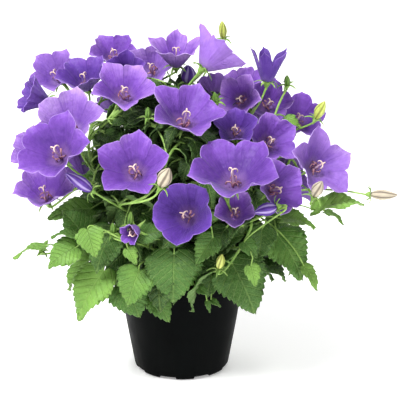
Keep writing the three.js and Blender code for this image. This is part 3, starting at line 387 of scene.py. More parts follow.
blades = {"owners": [], "corners": np.zeros((0, 3, 3)), "first": []}
stretches = {"starts": np.zeros((0, 3)), "ends": np.zeros((0, 3))}


def crossings(path, own):
    """How many blades a path goes through, its own leaf left out."""
    hits = meets(path[:-1], path[1:], blades["corners"])
    each = np.add.reduceat(hits, blades["first"], axis=1) > 0
    for k, owner in enumerate(blades["owners"]):
        if owner is own:
            each[:, k] = False
    return int(each.sum())


def neighbours(path):
    """How many other stems a path comes close to, away from its own start."""
    if not len(stretches["starts"]):
        return 0
    spots = []
    for start, end in zip(path[:-1], path[1:]):
        checks = math.ceil(np.linalg.norm(end - start) / STEM_CLEAR)
        spots.append(between(start, end, (np.arange(checks) / checks)[:, None]))
    spots = np.concatenate(spots)
    spots = spots[np.linalg.norm(spots - path[0], axis=1) >= 3 * STEM_CLEAR]
    along = stretches["ends"] - stretches["starts"]
    away = spots[:, None] - stretches["starts"]
    share = np.einsum("psi,si->ps", away, along) / np.einsum("si,si->s", along, along)
    closest = np.clip(share, 0, 1)[..., None] * along
    near = np.linalg.norm(away - closest, axis=2) < STEM_CLEAR
    return int(near.any(axis=0).sum())


print("cups:", len(FEET), "balls:", len(BALLS))

# %% [markdown]
# ## Stems
# A stem is a smooth curve from a crown, or from a joint of an older stem, to the foot of its bloom. Bends
# in twelve directions are tried until one leaves room to every bloom and passes no leaf. It could be
# drawn by hand, but the rule puts each stem exactly where the CAD model has it.

# %% Stem paths
STEM_STEPS = 4
LEAF_STEPS = 3
STEP_LENGTH = 30
CROWN_PULL = 1.5
BENDS = [0, 8, 16, 26, 38]
BEND_WAYS = 12
ROOM = 2.4
CHECK_LENGTH = 5
STEM_CLEAR = 2.4
FAIR_SCORE = 1.6
STARTS = 4
BLADE_COST = 1.5
NEIGHBOUR_COST = 0.8
SHIFTS = np.array(
    [
        around(bend, 360 / BEND_WAYS * way, 0.7 * bend if way % 2 else 0)
        for bend in BENDS
        for way in range(BEND_WAYS if bend else 1)
    ]
)


def bezier(p0, p1, p2, p3, t):
    u = 1 - t
    return u * u * u * p0 + 3 * u * u * t * p1 + 3 * u * t * t * p2 + t * t * t * p3


def rooms_along(paths, own):
    """The least room along each path, its first and last few millimetres left out."""
    spots = []
    extra = []
    firsts = []
    count = 0
    for path in paths:
        firsts.append(count)
        for k in range(len(path) - 1):
            checks = math.ceil(np.linalg.norm(path[k + 1] - path[k]) / CHECK_LENGTH)
            shares = np.arange(0 if k else 1, checks) / checks
            spots.append(between(path[k], path[k + 1], shares[:, None]))
            near = np.linalg.norm(spots[-1] - path[0], axis=1) < 2 * CHECK_LENGTH
            extra.append(np.where(near, ROOM, 0))
            count += len(shares)
    if count == 0:
        return np.full(len(paths), np.inf)
    found = room(np.concatenate(spots), own) + np.concatenate(extra)
    ends = firsts[1:] + [count]
    return np.array([found[a:b].min() if b > a else np.inf for a, b in zip(firsts, ends)])


def stem_path(clump, joint, leave, end, arrive, own):
    """The first bend that scores full room, or else the best one."""
    length = np.linalg.norm(end - joint)
    most = LEAF_STEPS if own["rows"] and end[2] > POT_HEIGHT else STEM_STEPS
    steps = min(max(math.floor(length / STEP_LENGTH + 0.5), 1), most)
    q1 = inside_quarter(clump, joint + leave * 0.4 * length + 0.6 * SHIFTS, 2)
    q2 = inside_quarter(clump, end - arrive * 0.32 * length + SHIFTS, 2)
    t = (np.arange(steps + 1) / steps)[None, :, None]
    paths = bezier(joint, q1[:, None], q2[:, None], end, t)
    best = None
    for k, least in enumerate(np.minimum(rooms_along(paths, own), ROOM)):
        if best and least <= best["score"]:
            continue
        score = least - BLADE_COST * crossings(paths[k], own) - NEIGHBOUR_COST * neighbours(paths[k])
        if not best or score > best["score"]:
            best = {"path": paths[k], "score": score, "bend": (joint, q1[k], q2[k], end)}
        if score >= ROOM:
            break
    return best


def root_spot(clump, end):
    """Where a stem leaves its crown: on the side that it grows to."""
    middle = around(CROWN_RING, CLUMPS[clump], CROWN_TOP - 2)
    way = end - middle
    out = math.hypot(way[0], way[1])
    lean = math.atan2(out, max(way[2], 0.3 * out)) / (math.pi / 2)
    return middle + unit(way * [1, 1, 0]) * CROWN_RADIUS * 0.75 * lean


def grown_stem(clump, joints, end, arrive, own):
    """A stem from the best of the nearest joints. Its own joints are then free for later stems."""
    root = {"spot": root_spot(clump, end), "leave": UP}

    def away(joint):
        return np.linalg.norm(joint["spot"] - end) * (1 if joint is root else CROWN_PULL)

    found = None
    for start in sorted([root, *joints], key=away)[:STARTS]:
        tried = stem_path(clump, start["spot"], start["leave"], end, arrive, own)
        tried["start"] = start
        if not found or tried["score"] > found["score"]:
            found = tried
        if found["score"] >= FAIR_SCORE:
            break
    if own["fill"] and found["score"] < FAIR_SCORE:
        return None
    if found["start"] is not root:
        joints[:] = [joint for joint in joints if joint is not found["start"]]
    path = found["path"]
    if not own["rows"]:
        for k in range(1, len(path) - 1):
            joints.append({"spot": path[k], "leave": unit(path[k + 1] - path[k - 1])})
    stretches["starts"] = np.concatenate([stretches["starts"], path[:-1]])
    stretches["ends"] = np.concatenate([stretches["ends"], path[1:]])
    return found["bend"]


# %% [markdown]
# ## Leaves
# A leaf is the pixels and depths of its foot and its tip, its full width, the way its upper face looks,
# its rows in the CAD model and its tone from dark (0) to light (1). Those of the picture come first.
# Large leaves over the rim and a spiral of inner leaves follow by rule.

# %% Leaf tables
LEAVES = [
    ((46, 246, -66), (12, 257.5, -68), 8, (0, 1, 0.7), 5, 0.7),
    ((75, 248, -72), (47, 268, -80), 27, (0.1, 0.6, 1), 8, 0.75),
    ((80, 237, -68), (50, 236, -74), 13, (0, 1, 0.6), 5, 0.6),
    ((86, 239, -48), (63, 211, -60), 32, (0, 0.5, 1), 6, 0.45),
    ((90, 209, -34), (47, 218, -50), 22, (0, 0.7, 1), 6, 0.7),
    ((88, 230, -88), (96, 258, -92), 24, (0, 0.3, 1), 6, 0.85),
    ((104, 271, -63), (76, 322, -73), 36, (-0.2, 0.4, 1), 8, 0.8),
    ((112, 230, -66), (95, 274, -76), 34, (-0.1, 0.4, 1), 8, 0.35),
    ((132, 246, -49), (104, 274, -59), 24, (0, 0.4, 1), 5, 0.2),
    ((139, 271, -76), (127, 307, -82), 33, (0, 0.3, 1), 8, 0.65),
    ((126, 286, -66), (140, 318, -71), 37, (0, 0.2, 1), 8, 0.5),
    ((155, 297, -65), (169.5, 322.5, -70), 22, (0, 0.2, 1), 6, 0.55),
    ((174, 254, -76), (173, 305, -82), 48, (0, 0.3, 1), 8, 0.4),
    ((232, 264, -70), (256, 315, -80), 48, (0.1, 0.3, 1), 8, 0.35),
    ((217, 258, -58), (206, 298, -66), 34, (0, 0.3, 1), 6, 0.3),
    ((278, 236, -46), (303, 281, -58), 40, (0.2, 0.5, 1), 8, 0.55),
    ((304, 266, -60), (318, 291, -64), 12, (0.2, 0.5, 1), 5, 0.8),
    ((315, 210, -24), (365, 203, -34), 25, (0, 1, 0.8), 8, 0.9),
    ((325, 212, -20), (345, 224, -24), 9, (0, 1, 0.6), 4, 0.8),
    ((282, 219, -44), (316, 227.5, -52), 20, (0, 1, 0.8), 6, 0.75),
    ((290, 226, -34), (303, 237, -40), 12, (0, 1, 0.8), 4, 0.6),
    ((284, 206, -30), (266, 235, -40), 24, (0, 0.5, 1), 5, 0.3),
    ((262, 229, -58), (259, 262, -64), 26, (0, 0.4, 1), 6, 0.35),
    ((244, 242, -76), (258, 258, -80), 15, (0, 0.4, 1), 5, 0.5),
    ((216, 248, -56), (244, 234, -62), 22, (0, 0.6, 1), 5, 0.2),
    ((251, 266, -88), (256, 287, -92), 14, (0, 0.4, 1), 5, 0.9),
    ((286, 118, 2), (301, 128, -4), 11, (0, 0.8, 1), 4, 0.8),
    ((128, 249, -88), (137, 265, -92), 12, (0, 0.4, 1), 4, 0.8),
    ((213, 238, -82), (195, 265, -88), 22, (0, 0.4, 1), 6, 0.55),
    ((198, 288, -74), (209, 295, -78), 9, (0, 0.4, 1), 4, 0.4),
    ((207, 301, -74), (210, 313, -77), 5, (0, 0.4, 1), 3, 0.5),
    ((211, 300, -70), (221, 307, -73), 6, (0, 0.6, 1), 3, 0.5),
    ((150, 206, -60), (148, 250, -70), 36, (0, 0.4, 1), 6, 0.15),
]
SKIRT = {"count": 12, "from": -6, "to": 198, "radius": 66, "seed": 640}
FILL = {"count": 900, "most": 17, "seed": 700, "lowest": 100, "highest": 236}
LEAF_OUTLINE = [
    (-0.1, 0.5),
    (0.08, 0.95),
    (0.25, 1.0),
    (0.42, 0.87),
    (0.58, 0.68),
    (0.72, 0.48),
    (0.86, 0.25),
    (1, 0),
]
TOOTH = 0.07
STALK_HALF = 0.7
BLADE_ROOM = 3
LARGE_REACH = 120


def leaf_record(index, foot, tip, width, looks, rows, tone, fill=False):
    made = {"foot": foot, "tip": tip, "width": width, "looks": looks, "rows": rows}
    made.update({"tone": tone, "fill": fill})
    made.update({"arch": 0.12 * np.linalg.norm(tip - foot), "seed": 900 + index, "kind": "leaf"})
    return made


def skirt_leaf(index):
    """A large leaf that hangs over the rim on the sides or at the back."""
    draw = dice(SKIRT["seed"] + index)
    heading = between(SKIRT["from"], SKIRT["to"], index / (SKIRT["count"] - 1)) + 8 * (draw() - 0.5)
    radius = SKIRT["radius"] + 8 * draw()
    foot = around(radius, heading, 108 + 12 * draw() if index % 2 else 134 + 16 * draw())
    length = 44 + 12 * draw()
    tip = foot + around(0.72 * length, heading + 24 * (draw() - 0.5), -0.7 * length)
    width = length * (0.74 + 0.16 * draw())
    return foot, tip, width, unit(around(1.1, heading, 1)), 6, 0.35 + 0.4 * (index % 3) / 2


def fill_leaf(index):
    """A leaf of the inside: a spiral of headings in tiers."""
    draw = dice(FILL["seed"] + index)
    level = (index * 0.618) % 1
    height = between(FILL["lowest"], FILL["highest"], level**1.3)
    heading = 137.5 * index + 20 * draw()
    reach = between(24, 66, draw() ** 0.7)
    length = between(46, 34, level) * (0.8 + 0.35 * draw())
    droop = between(-18, 8, level) + 10 * (draw() - 0.5)
    sway = 30 * (draw() - 0.5)
    foot = around(reach, heading, height)
    tip = foot + around(length, heading + sway, droop)
    looks = unit(around(between(0.9, 1.8, draw()), heading, 1))
    return foot, tip, length * between(0.6, 0.85, draw()), looks, 3, 0.15 + 0.3 * level, True


def outline_at(share):
    """Share of the half width at a share of the length."""
    return np.interp(share, [row[0] for row in LEAF_OUTLINE], [row[1] for row in LEAF_OUTLINE])


def leaf_points(leaf, share, across):
    """Points of a blade at shares of its length and millimetres across it. Behind the foot it is a notch."""
    share = np.asarray(share, float)[..., None]
    across = np.asarray(across, float)[..., None]
    knee = (leaf["foot"] + leaf["tip"]) / 2 + 2 * leaf["arch"] * leaf["looks"]
    on = np.maximum(share, 0)
    spine = (1 - on) ** 2 * leaf["foot"] + 2 * on * (1 - on) * knee + on * on * leaf["tip"]
    along = unit((1 - on) * (knee - leaf["foot"]) + on * (leaf["tip"] - knee))
    side = unit(np.cross(along, leaf["looks"]))
    normal = np.cross(side, along)
    behind = np.minimum(share, 0) * np.linalg.norm(leaf["tip"] - leaf["foot"])
    spine = spine + along * behind * (across != 0)
    return spine + side * across + normal * 0.22 * np.abs(across)


def leaf_sheet(leaf):
    """The blade as the CAD model has it: rows of three points, for the tests of room."""
    draw = dice(leaf["seed"])
    rows = leaf["rows"]
    shares = []
    widths = []
    for k in range(rows):
        share = between(LEAF_OUTLINE[0][0], 1, k / rows)
        tooth = TOOTH if rows > 5 else 0
        half = leaf["width"] / 2 * outline_at(share)
        left = half * (1 + tooth * (1 if k % 2 else -1) + 0.08 * (draw() - 0.5))
        right = half * (1 + tooth * (-1 if k % 2 else 1) + 0.08 * (draw() - 0.5))
        middle = [0] if k else [-STALK_HALF, STALK_HALF]
        shares += [share, *([share] if k else [0, 0]), share]
        widths += [-left, *middle, right]
    points = leaf_points(leaf, shares + [1], widths + [0])
    faces = [[0, 1, 5], [0, 5, 4], [1, 2, 5], [2, 3, 6], [2, 6, 5]]
    for a in range(4, 3 * rows - 2, 3):
        faces += [[a, a + 1, a + 4], [a, a + 4, a + 3], [a + 1, a + 2, a + 5], [a + 1, a + 5, a + 4]]
    end = 3 * rows - 2
    faces += [[end, end + 1, end + 3], [end + 1, end + 2, end + 3]]
    return points, np.array(faces)


def cuts(corners, others):
    """True if an edge of one set of triangles goes through a triangle of the other."""
    following = np.roll(corners, -1, axis=1).reshape(-1, 3)
    return meets(corners.reshape(-1, 3), following, others).any()


def add_blade(leaf):
    points, faces = leaf_sheet(leaf)
    blades["owners"].append(leaf)
    blades["first"].append(len(blades["corners"]))
    blades["corners"] = np.concatenate([blades["corners"], points[faces]])


def leaf_fits(leaf, clump, least):
    """True if the blade keeps clear of every bloom, the pot, the other clumps, stems and blades."""
    points, faces = leaf_sheet(leaf)
    if room(points).min() <= least:
        return False
    if np.linalg.norm(inside_quarter(clump, points, 1) - points, axis=1).max() > 1e-6:
        return False
    corners = points[faces]
    if meets(stretches["starts"], stretches["ends"], corners).any():
        return False
    if cuts(corners, blades["corners"]):
        return False
    others = blades["corners"]
    near = np.linalg.norm(others[:, 0] - points.mean(axis=0), axis=1) < LARGE_REACH
    return not cuts(others[near], corners)


# %% Growing
OVARY_LENGTH = 6
BLOOM_SIZE = 1
BUD_SIZE = 0.8
YOUNG_SIZE = 0.62
stalks = {name: [] for name in CLUMPS}
grown_leaves = {name: [] for name in CLUMPS}
joints = {name: [] for name in CLUMPS}
front_leaves = []
for foot, tip, width, looks, *rest in LEAVES:
    front_leaves.append((seen(*foot), seen(*tip), width, facing(looks), *rest))
sited = front_leaves + [skirt_leaf(k) for k in range(SKIRT["count"])]
all_leaves = [leaf_record(k, *row) for k, row in enumerate(sited)]
for leaf in all_leaves:
    add_blade(leaf)

for head in ALL_BLOOMS + ALL_BUDS:
    size = BLOOM_SIZE if head["kind"] == "bloom" else BUD_SIZE
    clump = clump_at(head["foot"])
    end = head["foot"] - head["axis"] * OVARY_LENGTH * size
    bend = grown_stem(clump, joints[clump], end, head["axis"], head)
    stalks[clump].append({"bend": bend, "head": head, "size": size})

for k in range(FILL["count"]):
    all_leaves.append(leaf_record(len(all_leaves), *fill_leaf(k)))

filled = 0
for leaf in all_leaves:
    if filled == FILL["most"]:
        break
    clump = clump_at(leaf_points(leaf, 0.5, 0.0))
    if leaf["fill"] and not leaf_fits(leaf, clump, BLADE_ROOM):
        continue
    arrive = unit(unit(leaf["tip"] - leaf["foot"]) - 0.3 * UP)
    bend = grown_stem(clump, joints[clump], leaf_points(leaf, 0.0, 0.0), arrive, leaf)
    if bend is None:
        continue
    if leaf["fill"]:
        add_blade(leaf)
        filled += 1
    grown_leaves[clump].append({"leaf": leaf, "bend": bend})
print("stems:", {name: len(rows) for name, rows in stalks.items()})
print("leaves:", {name: len(rows) for name, rows in grown_leaves.items()})

# %% [markdown]
# Three of the smallest buds aren't in the CAD model. They are added here, each on a stem of its own that
# is grown last.

# %% Youngest buds
YOUNG_BUDS = [
    ("young_1", (130, 225), (131, 209), -82, 6, "green"),
    ("young_2", (113, 231), (113, 222), -72, 5, "green"),
    ("young_3", (209, 195), (209, 186), -62, 6, "green"),
]
for k, row in enumerate(YOUNG_BUDS):
    head = {**placed_bud(len(ALL_BUDS) + k, *row), "kind": "young"}
    clump = clump_at(head["foot"])
    end = head["foot"] - head["axis"] * OVARY_LENGTH * BUD_SIZE
    bend = grown_stem(clump, joints[clump], end, head["axis"], head)
    stalks[clump].append({"bend": bend, "head": head, "size": YOUNG_SIZE})
print("youngest buds:", len(YOUNG_BUDS))

# %% [markdown]
# The CAD model has room for the large leaves only. The real plant is dense inside: small leaves stand on
# short stalks all along its stems. They are drawn from points of the stems in a spiral of headings,
# smaller towards the blooms, and each is kept where it clears the blooms and the other blades. This is
# the detail that the scene adds.

# %% Inner leaves
INNER = {"tries": 15000, "most": 560, "seed": 20000, "lowest": 88, "highest": 268}
DOME = {"low": 120, "top": 268, "radius": 92}
SIGHT = 45
SMALL_REACH = 60
SMALL_ROOM = 0.5
MOUTHS = FEET + DEPTHS[:, None] * AXES
SHOWN = np.concatenate([MOUTHS[: len(BLOOMS)], BALLS])
SHOWN_SIZES = np.concatenate([HALVES[: len(BLOOMS)], BALL_SIZES])
TO_EYE = unit(EYE - SHOWN)


def inner_leaf(index, starts):
    """A small leaf near a point of a stem, or further out on a longer stalk."""
    draw = dice(INNER["seed"] + index)
    start = starts[int(draw() * len(starts))]
    level = min(max(between(0, 1, (start[2] - INNER["lowest"]) / (INNER["highest"] - INNER["lowest"])), 0), 1)
    heading = 137.508 * index + 24 * draw()
    length = between(40, 19, level**0.8) * (0.7 + 0.55 * draw())
    foot = start + around(between(3, 34, draw() ** 2), heading, 12 * (draw() - 0.4))
    slope = math.radians(between(-75, 30, draw()))
    tip = foot + around(length * math.cos(slope), heading + 70 * (draw() - 0.5), length * math.sin(slope))
    looks = unit(around(between(0.8, 2.6, draw()), heading + 50 * (draw() - 0.5), 1))
    reach = math.hypot(foot[0], foot[1])
    # The tone is painted shade: leaves near the middle of the plant are darker, with a random share on top.
    tone = -0.2 + 0.2 * draw() + 0.45 * min(reach / 90, 1) ** 2
    return foot, tip, length * between(0.6, 0.9, draw()), looks, 3, tone, True


def short_stalk(leaf, path_points):
    """A curved stalk from the nearest stem below the leaf."""
    above = np.maximum(path_points[:, 2] - leaf["foot"][2], 0)
    away = np.linalg.norm(path_points - leaf["foot"], axis=1) + 2 * above
    start = path_points[away.argmin()]
    arrive = unit(unit(leaf["tip"] - leaf["foot"]) - 0.3 * UP)
    reach = np.linalg.norm(leaf["foot"] - start)
    return start, start + 0.35 * reach * UP, leaf["foot"] - 0.35 * reach * arrive, leaf["foot"]


def in_dome(points):
    """True for points inside the dome of leaves, above which only the bells stand."""
    rise = np.maximum(points[:, 2] - DOME["low"], 0) / (DOME["top"] - DOME["low"])
    return np.hypot(points[:, 0], points[:, 1]) < DOME["radius"] * np.sqrt(np.maximum(1 - rise**2, 0))


def before_a_head(points):
    """True for points close before a bell's mouth, or between the viewer and a bell or bud of the picture."""
    away = points[:, None] - MOUTHS
    along = np.einsum("pbi,bi->pb", away, AXES)
    beyond = np.linalg.norm(away - along[..., None] * AXES, axis=2)
    hidden = ((along > 0) & (along < SIGHT) & (beyond < HALVES)).any(axis=1)
    away = points[:, None] - SHOWN
    along = np.einsum("pbi,bi->pb", away, TO_EYE)
    beyond = np.linalg.norm(away - along[..., None] * TO_EYE, axis=2)
    return hidden | ((along > 0) & (beyond < SHOWN_SIZES)).any(axis=1)


def blade_fits(leaf, least):
    """True if the blade clears the blooms, the pot and the other blades."""
    points, faces = leaf_sheet(leaf)
    if room(points).min() <= least:
        return False
    others = blades["corners"]
    others = others[np.linalg.norm(others[:, 0] - points.mean(axis=0), axis=1) < SMALL_REACH]
    corners = points[faces]
    return not cuts(corners, others) and not cuts(others, corners)


stem_points = {}
for clump, rows in stalks.items():
    t = np.linspace(0.06, 1, 24)[:, None]
    stem_points[clump] = np.concatenate([bezier(*row["bend"], t) for row in rows])
starts = np.concatenate(list(stem_points.values()))
drawn = [inner_leaf(k, starts) for k in range(INNER["tries"])]
spots = np.array([[foot, (foot + tip) / 2, tip] for foot, tip, *_ in drawn])
flat_spots = spots.reshape(-1, 3)
free = (room(flat_spots) > SMALL_ROOM) & in_dome(flat_spots) & ~before_a_head(flat_spots)
free = free.reshape(-1, 3).all(axis=1)
added = 0
for k in np.flatnonzero(free):
    leaf = leaf_record(len(all_leaves) + int(k), *drawn[k])
    if not blade_fits(leaf, SMALL_ROOM):
        continue
    add_blade(leaf)
    clump = clump_at(leaf["foot"])
    grown_leaves[clump].append({"leaf": leaf, "bend": short_stalk(leaf, stem_points[clump])})
    added += 1
    if added == INNER["most"]:
        break
print("inner leaves:", added, "of", int(free.sum()), "with room, of", INNER["tries"], "drawn")

# %% [markdown]
# ## Shapes as arrays
# Every surface below is a set of points and triangles with a texture place, a tone and a material number.
# Numbers in arrays are much quicker than one Blender operator for each petal, and they stay exact. A thin
# sheet becomes a closed body with two faces and a wall along its edge, as a real petal or leaf has.

# %% Shapes


def shape(points, faces, uv=None, tone=0.0, mat=0):
    """One surface: points, triangles, a texture place and a tone per point, a material per triangle."""
    points = np.asarray(points, float).reshape(-1, 3)
    faces = np.asarray(faces, int).reshape(-1, 3)
    uv = np.zeros((len(points), 2)) if uv is None else np.asarray(uv, float).reshape(-1, 2)
    made = {"points": points, "faces": faces, "uv": uv, "tone": np.full(len(points), tone)}
    made.update({"mat": np.full(len(faces), mat), "flat": np.zeros(len(faces), bool)})
    return made


def joined(shapes):
    """Several surfaces as one."""
    keys = ("points", "uv", "tone", "mat", "flat")
    made = {key: np.concatenate([one[key] for one in shapes]) for key in keys}
    starts = np.cumsum([0] + [len(one["points"]) for one in shapes[:-1]])
    made["faces"] = np.concatenate([one["faces"] + start for one, start in zip(shapes, starts)])
    return made


def grid_faces(rows, columns, closed=False):
    """Triangles of a grid of rows x columns points. A closed grid joins its last column to its first."""
    row = np.arange(rows - 1)[:, None]
    column = np.arange(columns if closed else columns - 1)[None]
    here = row * columns + column
    beside = row * columns + (column + 1) % columns
    lower = np.stack([here, beside, beside + columns], axis=-1).reshape(-1, 3)
    upper = np.stack([here, beside + columns, here + columns], axis=-1).reshape(-1, 3)
    return np.concatenate([lower, upper])


def fan(middle, ring, flipped=False):
    """Triangles from a middle point to the points of a closed ring."""
    beside = np.roll(ring, -1)
    pair = (beside, ring) if flipped else (ring, beside)
    return np.stack([np.full(len(ring), middle), *pair], 1)


def point_normals(points, faces):
    corners = points[faces]
    crossed = np.cross(corners[:, 1] - corners[:, 0], corners[:, 2] - corners[:, 0])
    normals = np.zeros_like(points)
    for k in range(3):
        np.add.at(normals, faces[:, k], crossed)
    return unit(normals)


def thickened(sheet, thickness, back_mat, edge_mat):
    """A sheet with its own front, a back and a wall along every open edge."""
    points = sheet["points"]
    faces = sheet["faces"]
    count = len(points)
    offset = point_normals(points, faces) * thickness / 2
    edges = np.concatenate([faces[:, [0, 1]], faces[:, [1, 2]], faces[:, [2, 0]]])
    lonely = edges[~np.isin(edges[:, 0] * count + edges[:, 1], edges[:, 1] * count + edges[:, 0])]
    start, end = lonely[:, 0], lonely[:, 1]
    upper = np.stack([end, start, count + start], 1)
    lower = np.stack([end, count + start, count + end], 1)
    walls = np.concatenate([upper, lower])
    made = {key: np.concatenate([sheet[key]] * 2) for key in ("uv", "tone")}
    made["points"] = np.concatenate([points + offset, points - offset])
    made["faces"] = np.concatenate([faces, count + faces[:, [0, 2, 1]], walls])
    back = np.full(len(faces), back_mat)
    made["mat"] = np.concatenate([sheet["mat"], back, np.full(len(walls), edge_mat)])
    made["flat"] = np.concatenate([np.zeros(2 * len(faces), bool), np.ones(len(walls), bool)])
    return made


def tube(path, radii, sides, mat=0, tone=0.0, flatten=1.0):
    """A round rod along a path, closed at both ends. flatten presses it in one direction."""
    path = np.asarray(path, float)
    radii = np.broadcast_to(radii, len(path))
    along = unit(np.gradient(path, axis=0))
    side = np.cross(along[0], UP if abs(along[0][2]) < 0.9 else RIGHTWARD)
    turn = 2 * np.pi * np.arange(sides) / sides
    rings = []
    for point, way, radius in zip(path, along, radii):
        side = unit(side - way * (side @ way))
        across = np.cross(way, side)
        ring = np.cos(turn)[:, None] * side + flatten * np.sin(turn)[:, None] * across
        rings.append(point + radius * ring)
    count = len(path) * sides
    i = np.arange(sides)
    caps = [fan(count, i, True), fan(count + 1, count - sides + i)]
    faces = np.concatenate([grid_faces(len(path), sides, True), *caps])
    share = np.repeat(np.linspace(0, 1, len(path)), sides)
    uv = np.stack([np.tile(i / sides, len(path)), share], 1)
    points = np.concatenate([*rings, path[:1], path[-1:]])
    return shape(points, faces, np.concatenate([uv, [[0, 0], [0, 1]]]), tone, mat)


pieces_made = {}


def piece(name, shapes, finishes, nodes):
    """A mesh piece that rides on the frame and stands for its CAD nodes."""
    whole = joined(shapes)
    mesh = bpy.data.meshes.new(name)
    mesh.from_pydata((whole["points"] * MM).tolist(), [], whole["faces"].tolist())
    corners = whole["faces"].ravel()
    mesh.uv_layers.new(name="place").data.foreach_set("uv", whole["uv"][corners].ravel())
    mesh.attributes.new("tone", "FLOAT", "POINT").data.foreach_set("value", whole["tone"].astype(np.float32))
    for finish in finishes:
        mesh.materials.append(finish)
    mesh.polygons.foreach_set("material_index", whole["mat"].astype(np.int32))
    mesh.polygons.foreach_set("use_smooth", ~whole["flat"])
    mesh.update()
    made = bpy.data.objects.new(name, mesh)
    bpy.context.scene.collection.objects.link(made)
    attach(made, "root")
    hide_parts(*nodes)
    pieces_made[name] = len(whole["faces"])
    return made


print("grid of 3 x 4 points:", len(grid_faces(3, 4)), "triangles")

# %% [markdown]
# ## Finishes
# A finish is a small tree of shader nodes. One function adds a node, sets its values and joins its
# inputs, so that each finish reads as a list of steps. Colours are given as they look on a screen and
# brought to light.

# %% Node helper


def paint(code):
    """A colour as it looks on a screen, such as #7d4ebe, as the linear colour that Blender mixes."""
    parts = [int(code[k : k + 2], 16) / 255 for k in (1, 3, 5)]
    linear = [part / 12.92 if part <= 0.04045 else ((part + 0.055) / 1.055) ** 2.4 for part in parts]
    return (*linear, 1.0)


def add(tree, kind, values=None, out=0, **settings):
    """Adds a node, with its settings and its values or links, and returns one of its outputs."""
    node = tree.nodes.new(kind)
    for name, value in settings.items():
        setattr(node, name, value)
    for name, value in (values or {}).items():
        if isinstance(value, bpy.types.NodeSocket):
            tree.links.new(value, node.inputs[name])
        else:
            node.inputs[name].default_value = value
    return None if out is None else node.outputs[out]


def maths(tree, operation, *values, **settings):
    """One operation on up to three values or links."""
    return add(tree, "ShaderNodeMath", dict(enumerate(values)), operation=operation, **settings)


def noise(tree, spot, scale, detail):
    return add(tree, "ShaderNodeTexNoise", {"Vector": spot, "Scale": scale, "Detail": detail})


def eased(tree, value, *limits):
    """A value brought from one range (low, high) into another (low, high)."""
    return add(tree, "ShaderNodeMapRange", dict(enumerate([value, *limits])))


def mixed(tree, share, colour, code):
    """A colour with a share of another one, given as it looks on a screen."""
    return add(tree, "ShaderNodeMix", {0: share, 6: colour, 7: paint(code)}, out=2, data_type="RGBA")


def thin_skin(tree, skin, through):
    """A surface with a share of light shining through it, joined to the material's output."""
    solid = add(tree, "ShaderNodeBsdfPrincipled", skin)
    glow = add(tree, "ShaderNodeBsdfTranslucent", {"Color": skin["Base Color"], "Normal": skin["Normal"]})
    both = add(tree, "ShaderNodeMixShader", {0: through, 1: solid, 2: glow})
    add(tree, "ShaderNodeOutputMaterial", {0: both}, out=None)


def solid_skin(tree, skin):
    """A surface that lets no light through, joined to the material's output."""
    solid = add(tree, "ShaderNodeBsdfPrincipled", skin)
    add(tree, "ShaderNodeOutputMaterial", {0: solid}, out=None)


def new_finish(name):
    """An empty material and its node tree."""
    finish = bpy.data.materials.new(name)
    finish.use_nodes = True
    finish.node_tree.nodes.clear()
    return finish, finish.node_tree


def ramp(tree, value, stops):
    """A value turned into a colour by a list of places and colours."""
    node = tree.nodes.new("ShaderNodeValToRGB")
    tree.links.new(value, node.inputs[0])
    for k, (place, code) in enumerate(stops):
        stop = node.color_ramp.elements[k] if k < 2 else node.color_ramp.elements.new(place)
        stop.position = place
        stop.color = paint(code)
    return node.outputs[0]


print("violet in light:", [round(x, 3) for x in paint("#7d4ebe")])

# %% [markdown]
# ### Violet petals
# The petal of a bellflower is a satin skin over a thin layer of cells that lets some light through. Fine
# veins run from the throat to the edge and the colour lies in soft lighter and darker clouds. The colour is
# also painted darker low in the cup, as shade, and lighter towards the edge, as light. A darker line along
# each notch crease is painted shade, and a paler line along the very edge is a painted highlight. The
# outside is a matter mauve. A photograph on the petal would freeze its light, so the pattern is made by rule.

# %% Petal finish
PETAL_THROUGH = 0.16


